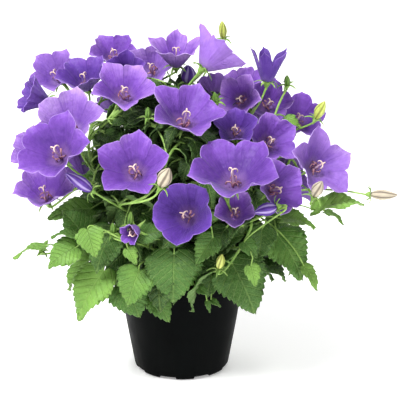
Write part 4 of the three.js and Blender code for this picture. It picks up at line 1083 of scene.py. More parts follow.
def petal_skin(name, throat, deep, middle, light, edge_highlight, roughness):
    finish, tree = new_finish(name)
    place = add(tree, "ShaderNodeUVMap", uv_map="place")
    split = add(tree, "ShaderNodeSeparateXYZ", {0: place}).node
    phase, share = split.outputs[0], split.outputs[1]
    tone = add(tree, "ShaderNodeAttribute", attribute_name="tone", out=2)
    spot = add(tree, "ShaderNodeTexCoord", out=3)
    across = maths(tree, "MULTIPLY", phase, 11.0)
    along = maths(tree, "MULTIPLY", share, 1.6)
    seed = maths(tree, "MULTIPLY", tone, 31.0)
    radial = add(tree, "ShaderNodeCombineXYZ", {0: across, 1: along, 2: seed})
    streaks = noise(tree, radial, 1.0, 4.0)
    clouds = noise(tree, spot, 42.0, 2.0)
    mottle = noise(tree, spot, 240.0, 3.0)
    grain = noise(tree, spot, 900.0, 2.0)
    # The share of the way out paints the petal darker low in the cup and lighter towards the edge: painted
    # shade in the cup, painted light at the edge.
    level = maths(tree, "MULTIPLY_ADD", share, 0.62, 0.0)
    level = maths(tree, "MULTIPLY_ADD", clouds, 0.95, level)
    level = maths(tree, "MULTIPLY_ADD", streaks, 0.3, level)
    level = maths(tree, "MULTIPLY_ADD", tone, 0.6, level)
    level = maths(tree, "MULTIPLY_ADD", mottle, 0.45, level)
    level = maths(tree, "SUBTRACT", level, 0.88, use_clamp=True)
    colour = ramp(tree, level, [(0.0, deep), (1.0, light), (0.5, middle)])
    step = maths(tree, "PINGPONG", phase, 0.17)
    vein = eased(tree, step, 0.0, 0.025, 0.18, 0.0)
    colour = mixed(tree, vein, colour, deep)
    # A darker line along each notch crease: painted shade.
    crease_shade = eased(tree, phase, 0.92, 1.0, 0.0, 0.6)
    colour = mixed(tree, crease_shade, colour, deep)
    inner = eased(tree, share, 0.05, 0.26, 0.4, 0.0)
    colour = mixed(tree, inner, colour, throat)
    # A paler line along the very edge: a painted highlight.
    edge_highlight_share = eased(tree, share, 0.98, 1.0, 0.0, 0.32)
    colour = mixed(tree, edge_highlight_share, colour, edge_highlight)
    relief = maths(tree, "MULTIPLY_ADD", grain, 0.3, mottle)
    relief = maths(tree, "MULTIPLY_ADD", streaks, 0.8, relief)
    bump = add(tree, "ShaderNodeBump", {"Height": relief, "Strength": 0.75, "Distance": 0.0012})
    skin = {"Base Color": colour, "Roughness": roughness, "Normal": bump, "Specular IOR Level": 0.3}
    skin.update({"Sheen Weight": 0.12, "Sheen Roughness": 0.4, "IOR": 1.42})
    thin_skin(tree, skin, PETAL_THROUGH)
    return finish


# Throat, deep, middle and light colours, the colour of the painted highlight along the edge, then the
# roughness, for the inside and the outside of each tint.
PETAL_COLOURS = {
    "violet": (
        ("#a07aac", "#573389", "#7a4db0", "#ab82d1", "#cfbbe8", 0.44),
        ("#9478b4", "#694599", "#885fb9", "#ae8ad2", "#cdb8e8", 0.6),
    ),
    "deep": (
        ("#8a66a0", "#452976", "#5f3b9a", "#845ab5", "#ab8ed0", 0.44),
        ("#8068ae", "#583794", "#744cb0", "#9470c6", "#b89de0", 0.6),
    ),
    "pale": (
        ("#a88cba", "#6e48a3", "#8f67bc", "#b999d8", "#d8c8ee", 0.48),
        ("#a38cc0", "#8158b4", "#a179cf", "#bc9be0", "#d8c8f2", 0.62),
    ),
}
FULL_NAMES = {"violet": "violet", "deep": "deep_violet", "pale": "pale_violet"}
PETALS = {}
for tint, (inside, outside) in PETAL_COLOURS.items():
    full_name = FULL_NAMES[tint]
    satin = petal_skin(full_name + "_petal_satin_inside", *inside)
    matt = petal_skin(full_name + "_petal_matt_outside", *outside)
    PETALS[tint] = [satin, matt]
print("petal finishes:", sum(len(pair) for pair in PETALS.values()))

# %% [markdown]
# ### Green skins, pistils and buds
# Leaves, stems and buds share one kind of surface: a waxy or matt skin with lighter and darker cells.
# What differs is the pattern. A leaf has a midrib with side veins, a bud has folds with a colour in the
# grooves between them: pale stripes on the violet buds, painted shade on the others.

# %% Plain plant skin


def plant_skin(name, dark, middle, light, roughness, scale=160.0, through=0.12, fold_stripes_and_shade=None):
    """A skin in soft spots. The last argument is the colour in the grooves of the folds, whose place is the
    first texture value: pale stripes on violet buds, painted shade on the others.
    """
    finish, tree = new_finish(name)
    spot = add(tree, "ShaderNodeTexCoord", out=3)
    tone = add(tree, "ShaderNodeAttribute", attribute_name="tone", out=2)
    clouds = noise(tree, spot, scale, 4.0)
    grain = noise(tree, spot, 12 * scale, 2.0)
    level = maths(tree, "MULTIPLY_ADD", clouds, 1.3, tone)
    level = maths(tree, "SUBTRACT", level, 0.15, use_clamp=True)
    colour = ramp(tree, level, [(0.0, dark), (1.0, light), (0.5, middle)])
    if fold_stripes_and_shade:
        place = add(tree, "ShaderNodeUVMap", uv_map="place")
        fold = add(tree, "ShaderNodeSeparateXYZ", {0: place})
        # The colour in the grooves: pale stripes on violet buds, painted shade on the cream, yellow and green
        # ones.
        band = eased(tree, fold, 0.74, 0.97, 0.0, 0.85)
        colour = mixed(tree, band, colour, fold_stripes_and_shade)
    bump = add(tree, "ShaderNodeBump", {"Height": grain, "Strength": 0.35, "Distance": 0.0003})
    skin = {"Base Color": colour, "Roughness": roughness, "Normal": bump}
    skin.update({"Specular IOR Level": 0.35, "IOR": 1.42})
    thin_skin(tree, skin, through)
    return finish


STEM_SKIN = plant_skin("young_green_stem_skin", "#557a30", "#7ba04a", "#a3c46a", 0.46)
SEPAL_SKIN = plant_skin("green_sepal_skin", "#507530", "#7a9f4a", "#a9c670", 0.5, 220.0, 0.2)
CROWN_SKIN = plant_skin("brown_crown_bark", "#3b2c1c", "#5a452c", "#6f7a3c", 0.8, 120.0, 0.0)
STYLE_SKIN = plant_skin("pale_pink_style_skin", "#a17fa0", "#c3a2bb", "#dcc6cf", 0.5, 300.0, 0.2)
STIGMA_SKIN = plant_skin("cream_stigma_velvet", "#c9a5a4", "#e6cdbf", "#f6ebda", 0.65, 500.0, 0.2)
STAMEN_SKIN = plant_skin("withered_stamen_skin", "#5f3240", "#8c5764", "#c09598", 0.7, 500.0, 0.1)
# Name, dark, middle and light colours, roughness, and the colour in the grooves of the folds: pale stripes on
# the violet bud, painted shade on the others.
BUD_COLOURS = {
    "violet": ("deep_violet_bud_skin", "#3a2070", "#55338f", "#7a55b4", 0.45, "#b9a6dc"),
    "cream": ("cream_bud_skin", "#a59a8a", "#bfb49f", "#dcd3bc", 0.5, "#655a50"),
    "yellow": ("yellow_green_bud_skin", "#a2b04a", "#c0cb66", "#dbe08c", 0.5, "#7b7a3c"),
    "green": ("green_bud_skin", "#4f7430", "#6d9440", "#90b058", 0.5, "#47652b"),
}
BUD_SPOTS = 150.0
BUD_THROUGH = 0.15
BUDS_SKIN = {}
for tint, (*colours, fold_stripes_and_shade) in BUD_COLOURS.items():
    BUDS_SKIN[tint] = plant_skin(*colours, BUD_SPOTS, BUD_THROUGH, fold_stripes_and_shade)
print("bud skins:", list(BUDS_SKIN))

# %% Leaf finish


def leaf_skin(name, dark, middle, light, vein_colour, roughness, through):
    """The texture place is millimetres across over the leaf's length, and the share of its length."""
    finish, tree = new_finish(name)
    place = add(tree, "ShaderNodeUVMap", uv_map="place")
    split = add(tree, "ShaderNodeSeparateXYZ", {0: place}).node
    tone = add(tree, "ShaderNodeAttribute", attribute_name="tone", out=2)
    spot = add(tree, "ShaderNodeTexCoord", out=3)
    aside = maths(tree, "ABSOLUTE", split.outputs[0])
    slant = maths(tree, "MULTIPLY_ADD", aside, -VEIN_SLANT, split.outputs[1])
    ragged = noise(tree, spot, 130.0, 2.0)
    slant = maths(tree, "MULTIPLY_ADD", ragged, 0.03, slant)
    slant = maths(tree, "SUBTRACT", slant, 0.015)
    step = maths(tree, "PINGPONG", slant, VEIN_SPACING / 2)
    side_vein = eased(tree, step, 0.002, 0.016, 1.0, 0.0)
    midrib = eased(tree, aside, 0.006, 0.022, 1.0, 0.0)
    veins = maths(tree, "MAXIMUM", side_vein, midrib)
    net = add(tree, "ShaderNodeTexVoronoi", {"Vector": spot, "Scale": 420.0}, feature="DISTANCE_TO_EDGE")
    mesh_vein = eased(tree, net, 0.0, 0.09, 0.2, 0.0)
    clouds = noise(tree, spot, 60.0, 4.0)
    level = maths(tree, "MULTIPLY_ADD", clouds, 0.55, tone)
    level = maths(tree, "SUBTRACT", level, 0.3, use_clamp=True)
    colour = ramp(tree, level, [(0.0, dark), (1.0, light), (0.5, middle)])
    colour = mixed(tree, mesh_vein, colour, vein_colour)
    strong = maths(tree, "MULTIPLY", veins, 0.22)
    colour = mixed(tree, strong, colour, vein_colour)
    relief = maths(tree, "ADD", veins, mesh_vein)
    bump = add(tree, "ShaderNodeBump", {"Height": relief, "Strength": 0.9, "Distance": 0.0006}, invert=True)
    skin = {"Base Color": colour, "Roughness": roughness, "Normal": bump}
    skin.update({"Specular IOR Level": 0.35, "IOR": 1.42})
    thin_skin(tree, skin, through)
    return finish


VEIN_SLANT = 0.84
VEIN_SPACING = 0.15
# The darkest colour of the upper skin is kept deep for the painted shade of the inner leaves.
LEAF_TOP = leaf_skin("leaf_upper_skin", "#213c17", "#4b7430", "#84af4d", "#a0c06c", 0.48, 0.16)
LEAF_UNDER = leaf_skin("leaf_under_skin", "#45662f", "#688a4a", "#97b56a", "#b5cb8a", 0.62, 0.16)
print("leaf finishes made")

# %% [markdown]
# ## Open bells
# A bell is one thin corolla that stands on its calyx. Inside are a style with three curled stigma lobes
# and five withered stamens. The corolla samples the formula finely and is thickened to a real skin. The
# CAD bloom is its stand-in for collision, at the same place and size.

# %% Bells
AROUND = 100
RINGS = 20
PETAL_SKIN_DEPTH = 0.45
# How much lighter a bell is than its tint, for those that differ from it.
# Bell 15 is lighter than its tint to make up for the shade that the blooms above cast on it: painted light.
TONES = {"01": -0.1, "02": 0.55, "03": 0.2, "04": 0.15, "07": 0.1, "08": 0.45, "10": 0.3}
TONES.update({"11": 0.6, "13": -0.1, "15": 0.35, "16": -0.4, "17": 0.3, "20": 0.1, "21": -0.1})
TONES.update({"22": -0.3, "23": 0.1, "24": 0.4, "26": 0.15, "27": 0.1})


def head_point(head, up, out, degrees):
    """Points beside a head's axis: height above its foot, distance from its axis, clockwise angle."""
    angle = np.radians(np.asarray(degrees, float))
    up = np.asarray(up, float)
    out = np.asarray(out, float)
    points = head["foot"] + up[..., None] * head["axis"] + (out * np.cos(angle))[..., None] * head["top"]
    return points + (out * np.sin(angle))[..., None] * head["right"]


def corolla(bloom):
    draw = dice(800 + bloom["index"])
    tone = TONES.get(bloom["name"], 0.0) + 0.2 * (draw() - 0.5)
    degrees = bloom["turn"] + 360 / AROUND * np.arange(AROUND)
    share = (1 - (1 - np.arange(RINGS + 1) / RINGS) ** 1.3)[:, None] + 0 * degrees
    points = petal_points(bloom, degrees + 0 * share, share).reshape(-1, 3)
    turns = (degrees - bloom["turn"]) % 72
    phase = np.minimum(turns, 72 - turns) / 36
    uv = np.stack([np.tile(phase, RINGS + 1), share.ravel()], 1)
    floor = fan(len(points), np.arange(AROUND), True)
    faces = np.concatenate([grid_faces(RINGS + 1, AROUND, True), floor])
    sheet = shape(np.vstack([points, bloom["foot"]]), faces, np.vstack([uv, [0.5, 0]]), tone)
    return thickened(sheet, PETAL_SKIN_DEPTH, 1, 1)


def pistil(bloom):
    """The style with its three curled stigma lobes, and the five stamens at its foot."""
    draw = dice(1200 + bloom["index"])
    size = between(0.75, 1.05, min(max((bloom["width"] - 30) / 40, 0), 1))
    height = 0.56 * bloom["depth"]
    lean = 360 * draw()
    t = np.linspace(0, 1, 8)
    parts = [tube(head_point(bloom, t * height, 0.8 * t * t, lean), between(1.0, 0.7, t) * size, 8, mat=2)]
    radius = 1.9 * size
    bend = np.radians(np.linspace(0, 215 + 30 * draw(), 11))
    for k in range(3):
        heading = lean + 120 * k + 20 * (draw() - 0.5)
        base = head_point(bloom, height, 0.8, lean)
        curl = head_point(bloom, radius * np.sin(bend) * 1.15, radius * (1 - np.cos(bend)), heading)
        width = between(0.72, 0.4, np.linspace(0, 1, 11)) * size
        parts.append(tube(curl - bloom["foot"] + base, width, 7, mat=3))
    for k in range(5):
        heading = 72 * k + 30 * draw()
        out = size * (1.2 + 4.6 * t**0.8 + 0.7 * np.sin(7 * t + 6 * draw()))
        up = size * (0.4 + (5.6 + 2 * draw()) * np.sin(2.6 * t))
        swing = heading + 25 * np.sin(4 * t + 6 * draw())
        width = size * (0.55 + 0.3 * np.sin(3.1 * t))
        parts.append(tube(head_point(bloom, up, out, swing), width, 6, mat=4, flatten=0.5, tone=0.3 * draw()))
    return parts


for bloom in ALL_BLOOMS:
    finishes = [*PETALS[bloom["tint"]], STYLE_SKIN, STIGMA_SKIN, STAMEN_SKIN]
    shapes = [corolla(bloom), *pistil(bloom)]
    piece("bell_" + bloom["name"], shapes, finishes, ["bloom_" + bloom["name"]])
print("bells:", len(pieces_made), "triangles in the first:", pieces_made["bell_01"])

# %% [markdown]
# ## Buds
# A closed bud is the corolla still folded along its five pleats, with a slight twist towards the tip. It
# is made as rings whose radius dips between the pleats.

# %% Buds as folded rings
BUD_SIDES = 50
BUD_RINGS = 20
BUD_PROFILE = [
    (0, 0.42),
    (0.15, 0.78),
    (0.35, 1.0),
    (0.55, 0.93),
    (0.72, 0.72),
    (0.88, 0.42),
    (0.97, 0.17),
    (1, 0.02),
]


def bud_shape(bud, sink=0.0):
    side = RIGHTWARD if abs(bud["axis"][2]) > 0.9 else UP
    across = unit(side - bud["axis"] * (side @ bud["axis"]))
    other = np.cross(bud["axis"], across)
    share = np.linspace(0, 1, BUD_RINGS + 1)[:, None]
    turn = (2 * np.pi * np.arange(BUD_SIDES) / BUD_SIDES)[None]
    twist = turn - 0.5 * share**2
    fold = np.abs(np.sin(2.5 * twist))
    profile = np.interp(share, [row[0] for row in BUD_PROFILE], [row[1] for row in BUD_PROFILE])
    radius = bud["across"] / 2 * profile * (1 - 0.2 * fold**0.8)
    path = bud["foot"] + share[..., None] * (bud["tip"] - bud["foot"]) - sink * bud["axis"]
    points = path + (radius * np.cos(turn))[..., None] * across + (radius * np.sin(turn))[..., None] * other
    count = BUD_SIDES * (BUD_RINGS + 1)
    i = np.arange(BUD_SIDES)
    caps = [fan(count, i, True), fan(count + 1, count - BUD_SIDES + i)]
    faces = np.concatenate([grid_faces(BUD_RINGS + 1, BUD_SIDES, True), *caps])
    uv = np.stack([fold.ravel(), np.broadcast_to(share, fold.shape).ravel()], 1)
    ends = [path[0, 0], path[-1, 0]]
    points = np.vstack([points.reshape(-1, 3), *ends])
    return shape(points, faces, np.vstack([uv, [0, 0], [0, 1]]))


for bud in ALL_BUDS:
    if bud["tint"] != "green":
        name, tint = bud["name"], bud["tint"]
        piece("folded_" + name, [bud_shape(bud)], [BUDS_SKIN[tint]], ["bud_" + name])
print("buds made, triangles in one:", pieces_made["folded_cream_1"])

# %% [markdown]
# ## Stems and calyxes
# Stems are round and thickest at the crown. Each ends in an ovary with five narrow
# sepals that spread under the bell. The sepals are folded along their middle and end in a point.

# %% Calyx
SEAT = -0.7
OVARY_RADIUS = 3.3
SEPAL_ROWS = 8


def calyx(head, size):
    side = RIGHTWARD if abs(head["axis"][2]) > 0.9 else UP
    top = unit(side - head["axis"] * (side @ head["axis"]))
    seat = {"foot": head["foot"], "axis": head["axis"], "top": top, "right": np.cross(top, head["axis"])}
    draw = dice(1600 + head["index"] + (100 if head["kind"] == "bud" else 0))
    sides = 20
    turn = 360 / sides * np.arange(sides)[None]
    low = -OVARY_LENGTH * size
    heights = np.array([low - 1.5, low, -4.9 * size, -3.2 * size, -1.8 * size, SEAT])
    radii = np.array([0.9, 1.05, 1.75, 2.7, 3.15, OVARY_RADIUS])[:, None] * size
    radii = radii * (1 + 0.07 * np.cos(np.radians(5 * turn)))
    points = head_point(seat, heights[:, None] + 0 * turn, radii, turn).reshape(-1, 3)
    count = len(points)
    lid = fan(count, count - sides + np.arange(sides), True)
    faces = np.concatenate([grid_faces(len(heights), sides, True)[:, [0, 2, 1]], lid])
    parts = [shape(np.vstack([points, seat["foot"] + SEAT * head["axis"]]), faces, tone=0.1)]
    t = np.linspace(0, 1, SEPAL_ROWS)[:, None]
    for k in range(LOBES):
        heading = head["turn"] - 72 * k - 36 + 12 * (draw() - 0.5)
        reach = size * (11.2 + 1.6 * draw())
        droop = size * (1.2 + 3.2 * draw())
        out = bezier(2.3 * size, 5 * size, 8.5 * size, reach, t)
        up = SEAT - 0.5 * size + bezier(0, 1.4 * size, 0.8 * size, -droop, t)
        half = size * 1.55 * (1 - t) ** 0.75 * (1 + 0.4 * t) + 0.06
        width = np.array([[-1.0, 0.0, 1.0]]) * half
        lateral = np.degrees(np.arctan2(width, out))
        rise = 0.35 * np.abs(width)
        blade = head_point(seat, up + rise, np.hypot(out + 0 * width, width), heading + lateral)
        made = shape(blade.reshape(-1, 3), grid_faces(SEPAL_ROWS, 3), tone=0.25 * draw(), mat=1)
        parts.append(thickened(made, 0.4, 1, 1))
    return parts


print("calyx parts:", len(calyx(ALL_BLOOMS[0], 1)))

# %% Stems
STEM_SPOTS = 16
STALK_SPOTS = 12


def smooth_path(bend, count):
    t = np.linspace(0, 1, count)[:, None]
    return bezier(*bend, t)


def crown(clump):
    """The woody crown that the stems leave, sunk into the soil."""
    middle = around(CROWN_RING, CLUMPS[clump], 0)
    sides = 28
    turn = 2 * np.pi * np.arange(sides)[None] / sides
    below = [CROWN_BOTTOM, CROWN_BOTTOM + 4]
    heights = np.array([*below, CROWN_TOP - 5, CROWN_TOP - 2.5, CROWN_TOP - 1, CROWN_TOP])[:, None]
    swell = np.array([0.9, 1, 1, 0.97, 0.8, 0.62])[:, None]
    radii = CROWN_RADIUS * swell * (1 - 0.05 * np.abs(np.sin(4 * turn)))
    rings = np.stack([radii * np.cos(turn), radii * np.sin(turn), heights + 0 * turn], -1)
    points = rings.reshape(-1, 3) + middle
    count = len(points)
    lid = fan(count, count - sides + np.arange(sides))
    faces = np.concatenate([grid_faces(len(heights), sides, True), lid])
    return shape(np.vstack([points, middle + UP * CROWN_TOP]), faces, mat=2)


def stems_of(clump):
    parts = [crown(clump)]
    for k, row in enumerate(stalks[clump]):
        t = np.linspace(0, 1, STEM_SPOTS)
        radii = between(1.3, 0.85, t) * between(0.75, 1, row["size"])
        parts.append(tube(smooth_path(row["bend"], STEM_SPOTS), radii, 8, tone=0.3 * ((k * 0.618) % 1)))
        parts += calyx(row["head"], row["size"])
        if row["head"]["kind"] != "bloom" and row["head"]["tint"] == "green":
            young = bud_shape(row["head"], 2)
            young["mat"][:] = 3
            parts.append(young)
    for row in grown_leaves[clump]:
        t = np.linspace(0, 1, STALK_SPOTS)
        parts.append(tube(smooth_path(row["bend"], STALK_SPOTS), between(0.95, 0.6, t), 7, tone=0.2))
    return parts


for clump in CLUMPS:
    finishes = [STEM_SKIN, SEPAL_SKIN, CROWN_SKIN, BUDS_SKIN["green"]]
    piece("stems_" + clump[6:], stems_of(clump), finishes, [clump])
print("stems:", {name: count for name, count in pieces_made.items() if name.startswith("stems")})

# %% [markdown]
# ## Leaf blades
# The blade of a bellflower leaf is heart-shaped with a sharply toothed edge. The skin bulges between the
# side veins, which gives it a quilted look. Each blade is a grid of rows whose edge steps in and out for
# the teeth, and the relief of the veins is in the mesh itself, so that it also catches the light from the
# side.

# %% Blades
LEAF_SKIN_DEPTH = 0.4
TOOTH_LENGTH = 3.6
TOOTH_STEPS = 3


def fine_blade(leaf, columns):
    draw = dice(leaf["seed"] + 5000)
    length = np.linalg.norm(leaf["tip"] - leaf["foot"])
    teeth = max(int(length / TOOTH_LENGTH), 4)
    rows = teeth * TOOTH_STEPS
    share = between(LEAF_OUTLINE[0][0], 1, np.arange(rows + 1) / rows)
    soft = (outline_at(share - 0.04) + 2 * outline_at(share) + outline_at(share + 0.04)) / 4 * (share < 0.999)
    v = np.linspace(-1, 1, columns)
    step = np.arange(rows + 1) % TOOTH_STEPS
    saw = np.select([step == 0, step == 1], [-0.8, 0.15], 0.8)
    sizes = np.array([[0.5 + draw() for _ in range(teeth + 1)] for _ in range(2)])
    bite = 0.04 + 0.34 / max(leaf["width"], 8)
    left, right = (soft * (1 + bite * saw * row[np.arange(rows + 1) // TOOTH_STEPS]) for row in sizes)
    half = np.where(v[None] < 0, left[:, None], right[:, None]) * leaf["width"] / 2
    across = half * v[None]
    toothed = (share[:, None] > 0) * (share[:, None] < 0.97)
    forward = 0.24 / teeth * saw[:, None] * np.abs(v[None]) ** 4 * toothed
    points = leaf_points(leaf, np.minimum(share[:, None] + forward, 1), across).reshape(-1, 3)
    faces = grid_faces(rows + 1, columns)
    slant = share[:, None] - VEIN_SLANT * np.abs(across) / length
    cell = (slant / VEIN_SPACING) % 1
    gap = np.minimum(cell, 1 - cell) * VEIN_SPACING * length
    size = min(length / 45, 1)
    swell = 0.65 * size * (0.5 - 0.5 * np.cos(2 * np.pi * cell)) * (1 - np.abs(v[None]) ** 6)
    quilt = swell - 0.4 * size * (gap < 0.8)
    rib = -0.8 * size * np.exp(-((across / 1.4) ** 2))
    swing = 6 * draw()
    ripple = 0.055 * length * np.abs(v[None]) ** 3 * np.sin(10 * share[:, None] + swing + np.sign(v[None]))
    droop = -0.07 * length * np.maximum(share[:, None], 0) ** 3
    relief = (quilt + rib + ripple + droop) * np.minimum(1, 4 * np.maximum(share[:, None], 0.04))
    points = points + point_normals(points, faces) * relief.reshape(-1, 1)
    uv = np.stack([(across / length).ravel(), np.broadcast_to(share[:, None], across.shape).ravel()], 1)
    sheet = shape(points, faces, uv, leaf["tone"])
    return thickened(sheet, LEAF_SKIN_DEPTH, 1, 1)


for clump in CLUMPS:
    sheets = [fine_blade(row["leaf"], 9 if row["leaf"]["width"] > 14 else 5) for row in grown_leaves[clump]]
    piece("leaves_" + clump[6:], sheets, [LEAF_TOP, LEAF_UNDER], [clump])
print("leaves:", {name: count for name, count in pieces_made.items() if name.startswith("leaves")})

# %% [markdown]
# ## Pot and soil
# The pot is thin moulded plastic: a turned wall with a rolled rim band and a foot with eight drain
# notches. It is made as one turned grid whose columns move closer at each notch, which keeps the mesh
# clean without a cut.

# %% Pot finish


def pot_plastic():
    finish, tree = new_finish("black_moulded_plastic")
    spot = add(tree, "ShaderNodeTexCoord", out=3)
    scuffs = noise(tree, spot, 55.0, 5.0)
    grain = noise(tree, spot, 1400.0, 2.0)
    colour = ramp(tree, scuffs, [(0.3, "#020303"), (0.75, "#050707")])
    gloss = eased(tree, scuffs, 0.3, 0.7, 0.42, 0.58)
    bump = add(tree, "ShaderNodeBump", {"Height": grain, "Strength": 0.25, "Distance": 0.0002})
    skin = {"Base Color": colour, "Roughness": gloss, "Normal": bump, "Specular IOR Level": 0.03, "IOR": 1.49}
    solid_skin(tree, skin)
    return finish


def soil_grains():
    finish, tree = new_finish("moist_potting_soil")
    spot = add(tree, "ShaderNodeTexCoord", out=3)
    grains = add(tree, "ShaderNodeTexVoronoi", {"Vector": spot, "Scale": 260.0})
    clouds = noise(tree, spot, 90.0, 6.0)
    level = maths(tree, "MULTIPLY_ADD", grains, 0.5, clouds)
    colour = ramp(tree, level, [(0.35, "#17110c"), (1.0, "#5a4632"), (0.7, "#33261a")])
    bump = add(tree, "ShaderNodeBump", {"Height": level, "Strength": 0.9, "Distance": 0.002})
    skin = {"Base Color": colour, "Roughness": 0.95, "Normal": bump, "Specular IOR Level": 0.2}
    solid_skin(tree, skin)
    return finish


print("pot and soil finishes ready")

# %% Pot
NOTCHES = 8
NOTCH_FIRST = 27.5
NOTCH_WIDTH = 16
NOTCH_HEIGHT = 3
NOTCH_INSIDE = 33.5
HARD_ANGLE = 32
# Radius, height, and the height where a drain notch cuts in.
POT_PROFILE = [
    (0, 0, 0),
    (NOTCH_INSIDE - 0.2, 0, 0),
    (NOTCH_INSIDE, 0, NOTCH_HEIGHT - 1.4),
    (FOOT_RADIUS - 0.5, 0, NOTCH_HEIGHT - 0.2),
    (FOOT_RADIUS, 0.2, NOTCH_HEIGHT - 0.1),
    (FOOT_RADIUS + 2.3, 1.6, NOTCH_HEIGHT),
    (POT_LOW_RADIUS, POT_LOW_HEIGHT, POT_LOW_HEIGHT),
    (49.2, 43, 43),
    (POT_TOP_RADIUS - 0.9, POT_HEIGHT - RIM_BAND, POT_HEIGHT - RIM_BAND),
    (POT_TOP_RADIUS - 0.5, POT_HEIGHT - RIM_BAND + 0.1, POT_HEIGHT - RIM_BAND + 0.1),
    (RIM_RADIUS - 0.9, POT_HEIGHT - RIM_BAND, POT_HEIGHT - RIM_BAND),
    (RIM_RADIUS - 0.6, POT_HEIGHT - RIM_BAND + 0.4, POT_HEIGHT - RIM_BAND + 0.4),
    (RIM_RADIUS, POT_HEIGHT - 1, POT_HEIGHT - 1),
    (RIM_RADIUS - 0.4, POT_HEIGHT - 0.3, POT_HEIGHT - 0.3),
    (RIM_RADIUS - 1.3, POT_HEIGHT, POT_HEIGHT),
    (POT_TOP_RADIUS, POT_HEIGHT - 0.3, POT_HEIGHT - 0.3),
    (POT_TOP_RADIUS - 0.6, POT_HEIGHT - 1.2, POT_HEIGHT - 1.2),
    (POT_TOP_RADIUS - 1.6, POT_HEIGHT - RIM_BAND - 2, POT_HEIGHT - RIM_BAND - 2),
    (POT_LOW_RADIUS - POT_WALL, POT_LOW_HEIGHT, POT_LOW_HEIGHT),
    (FOOT_RADIUS - 0.6, POT_FLOOR, POT_FLOOR + 1.2),
    (NOTCH_INSIDE - 3, POT_FLOOR, POT_FLOOR),
    (0, POT_FLOOR, POT_FLOOR),
]


def pot_shape():
    """Columns of the profile: plain ones, and at each notch two pairs that stand on its straight sides."""
    columns = []
    for k in range(NOTCHES):
        middle = NOTCH_FIRST - 90 + 360 / NOTCHES * k
        for side, low in ((-1, False), (-1, True), (0, True), (1, True), (1, False)):
            shares = [side] if side else [-0.6, -0.2, 0.2, 0.6]
            for share in shares:
                columns.append([(middle, share * NOTCH_WIDTH / 2 + (0.05 * side if not low else 0), low)])
        for step in (0.32, 0.42, 0.5, 0.58, 0.68):
            columns.append([(middle + 360 / NOTCHES * step, 0, False)])
    grid = []
    for ((heading, aside, low),) in columns:
        for radius, z, z_notch in POT_PROFILE:
            turn = math.radians(heading) + (math.asin(min(aside / radius, 1)) if radius > 30 else aside / 60)
            height = z_notch if low else z
            grid.append([radius * math.cos(turn), radius * math.sin(turn), height])
    faces = grid_faces(len(columns), len(POT_PROFILE))
    count = len(POT_PROFILE)
    last = (len(columns) - 1) * count
    seam = grid_faces(2, count)
    seam = np.where(seam < count, seam + last, seam - count)
    return shape(grid, np.concatenate([faces, seam]))


pot = piece("moulded_pot", [pot_shape()], [pot_plastic()], ["pot"])
hard_edges = pot.modifiers.new("hard edges", "EDGE_SPLIT")
hard_edges.split_angle = math.radians(HARD_ANGLE)
print("pot triangles:", pieces_made["moulded_pot"])

# %% Soil
SOIL_SPOKES = 120
SOIL_RINGS = 44
SOIL_EDGE = pot_inside(SOIL_TOP - 3) - 0.8


def soil_shape():
    """A crumbly top inside the pot's wall, closed by a side and a flat underside."""
    draw = dice(3)
    share = np.linspace(0.02, 1, SOIL_RINGS)
    rows = []
    lumps = [(60 * draw() - 30, 60 * draw() - 30, 6.28 * draw(), 0.12 + 0.5 * draw()) for _ in range(14)]
    for s in share:
        for k in range(SOIL_SPOKES):
            x, y, _ = around(SOIL_EDGE * s, 360 / SOIL_SPOKES * k, 0)
            bump = 0
            for shift, _, way, size in lumps:
                bump += math.sin(size * (x * math.cos(way) + y * math.sin(way)) + shift)
            crumb = 1.1 * (draw() - 0.5)
            rows.append([x, y, SOIL_TOP - 3 * max(0, s - 0.9) / 0.1 + (0.28 * bump + crumb) * (s < 0.93)])
    side = [(pot_inside(POT_LOW_HEIGHT) - 1, POT_LOW_HEIGHT + 1)]
    side += [(FOOT_RADIUS - 2.2, POT_FLOOR + 0.3), (0.5, POT_FLOOR + 0.3)]
    for radius, z in side:
        rows += [around(radius, 360 / SOIL_SPOKES * k, z).tolist() for k in range(SOIL_SPOKES)]
    count = len(rows)
    i = np.arange(SOIL_SPOKES)
    caps = [fan(count, i), fan(count + 1, count - SOIL_SPOKES + i, True)]
    faces = grid_faces(SOIL_RINGS + len(side), SOIL_SPOKES, True)[:, [0, 2, 1]]
    ends = [[0, 0, SOIL_TOP], [0, 0, POT_FLOOR + 0.3]]
    return shape(rows + ends, np.concatenate([faces, *caps]))


piece("crumbly_soil", [soil_shape()], [soil_grains()], ["soil"])
print("soil triangles:", pieces_made["crumbly_soil"])

# %% [markdown]
# ## Stage, light and camera
# The plant stands on a plain pale floor under soft studio light: one wide lamp above the front left, a
# weaker one at the front right, one above and behind, and an even pale sky. The camera stands where the
# picture frame has its eye.

# %% Floor
FLOOR_HALF = 9.0
FLOOR_GLOW = 0.26


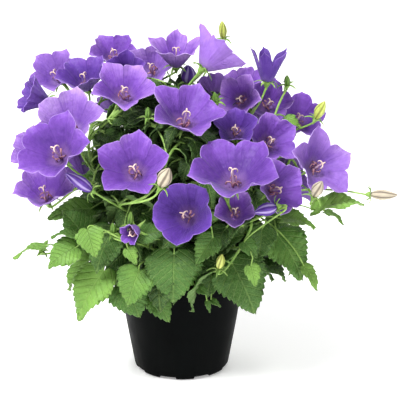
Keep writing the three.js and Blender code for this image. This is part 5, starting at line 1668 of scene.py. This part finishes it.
def pale_board():
    finish, tree = new_finish("pale_painted_board")
    spot = add(tree, "ShaderNodeTexCoord", out=3)
    clouds = noise(tree, spot, 3.0, 2.0)
    colour = ramp(tree, clouds, [(0.3, "#f7f7f6"), (0.7, "#fbfbfb")])
    skin = {"Base Color": colour, "Roughness": 0.9, "Specular IOR Level": 0.1}
    skin.update({"Emission Color": colour, "Emission Strength": FLOOR_GLOW})
    solid_skin(tree, skin)
    return finish


floor_mesh = bpy.data.meshes.new("floor")
floor_points = [(x, y, 0.0) for x, y in ((-1, -1), (1, -1), (1, 1), (-1, 1))]
floor_mesh.from_pydata([(FLOOR_HALF * x, FLOOR_HALF * y, z) for x, y, z in floor_points], [], [(0, 1, 2, 3)])
floor_mesh.materials.append(pale_board())
floor = bpy.data.objects.new("floor", floor_mesh)
bpy.context.scene.collection.objects.link(floor)

# %% Light
SKY = 0.4
AIM = Vector((0, 0, 0.16))
# Name, place in metres, width and power.
LAMPS = [
    ("key_lamp", (-1.1, -1.1, 2.2), 1.0, 112),
    ("fill_lamp", (0.9, -2.0, 0.9), 1.2, 19),
    ("back_lamp", (0.5, 1.7, 2.0), 1.4, 34),
]
world = bpy.data.worlds.new("pale_sky")
bpy.context.scene.world = world
world.use_nodes = True
world.node_tree.nodes["Background"].inputs[0].default_value = paint("#ffffff")
world.node_tree.nodes["Background"].inputs[1].default_value = SKY
for name, place, size, power in LAMPS:
    lamp = bpy.data.lights.new(name, "AREA")
    lamp.size = size
    lamp.energy = power
    stand = bpy.data.objects.new(name, lamp)
    stand.location = place
    stand.rotation_euler = (AIM - Vector(place)).to_track_quat("-Z", "Y").to_euler()
    bpy.context.scene.collection.objects.link(stand)
print("lamps:", [row[0] for row in LAMPS])

# %% Camera
SENSOR = 36.0
PICTURE = 400
camera_data = bpy.data.cameras.new("studio_camera")
camera_data.sensor_width = SENSOR
camera_data.lens = SENSOR * DISTANCE / (PICTURE * PIXEL)
camera = bpy.data.objects.new("studio_camera", camera_data)
camera.location = Vector((EYE * MM).tolist())
camera.rotation_euler = Vector(FORWARD.tolist()).to_track_quat("-Z", "Y").to_euler()
bpy.context.scene.collection.objects.link(camera)
bpy.context.scene.camera = camera
bpy.context.scene.view_settings.view_transform = "Standard"
print("lens:", round(camera_data.lens, 1), "mm")

# %% Size and end
print("pieces:", len(pieces_made), "triangles:", sum(pieces_made.values()))
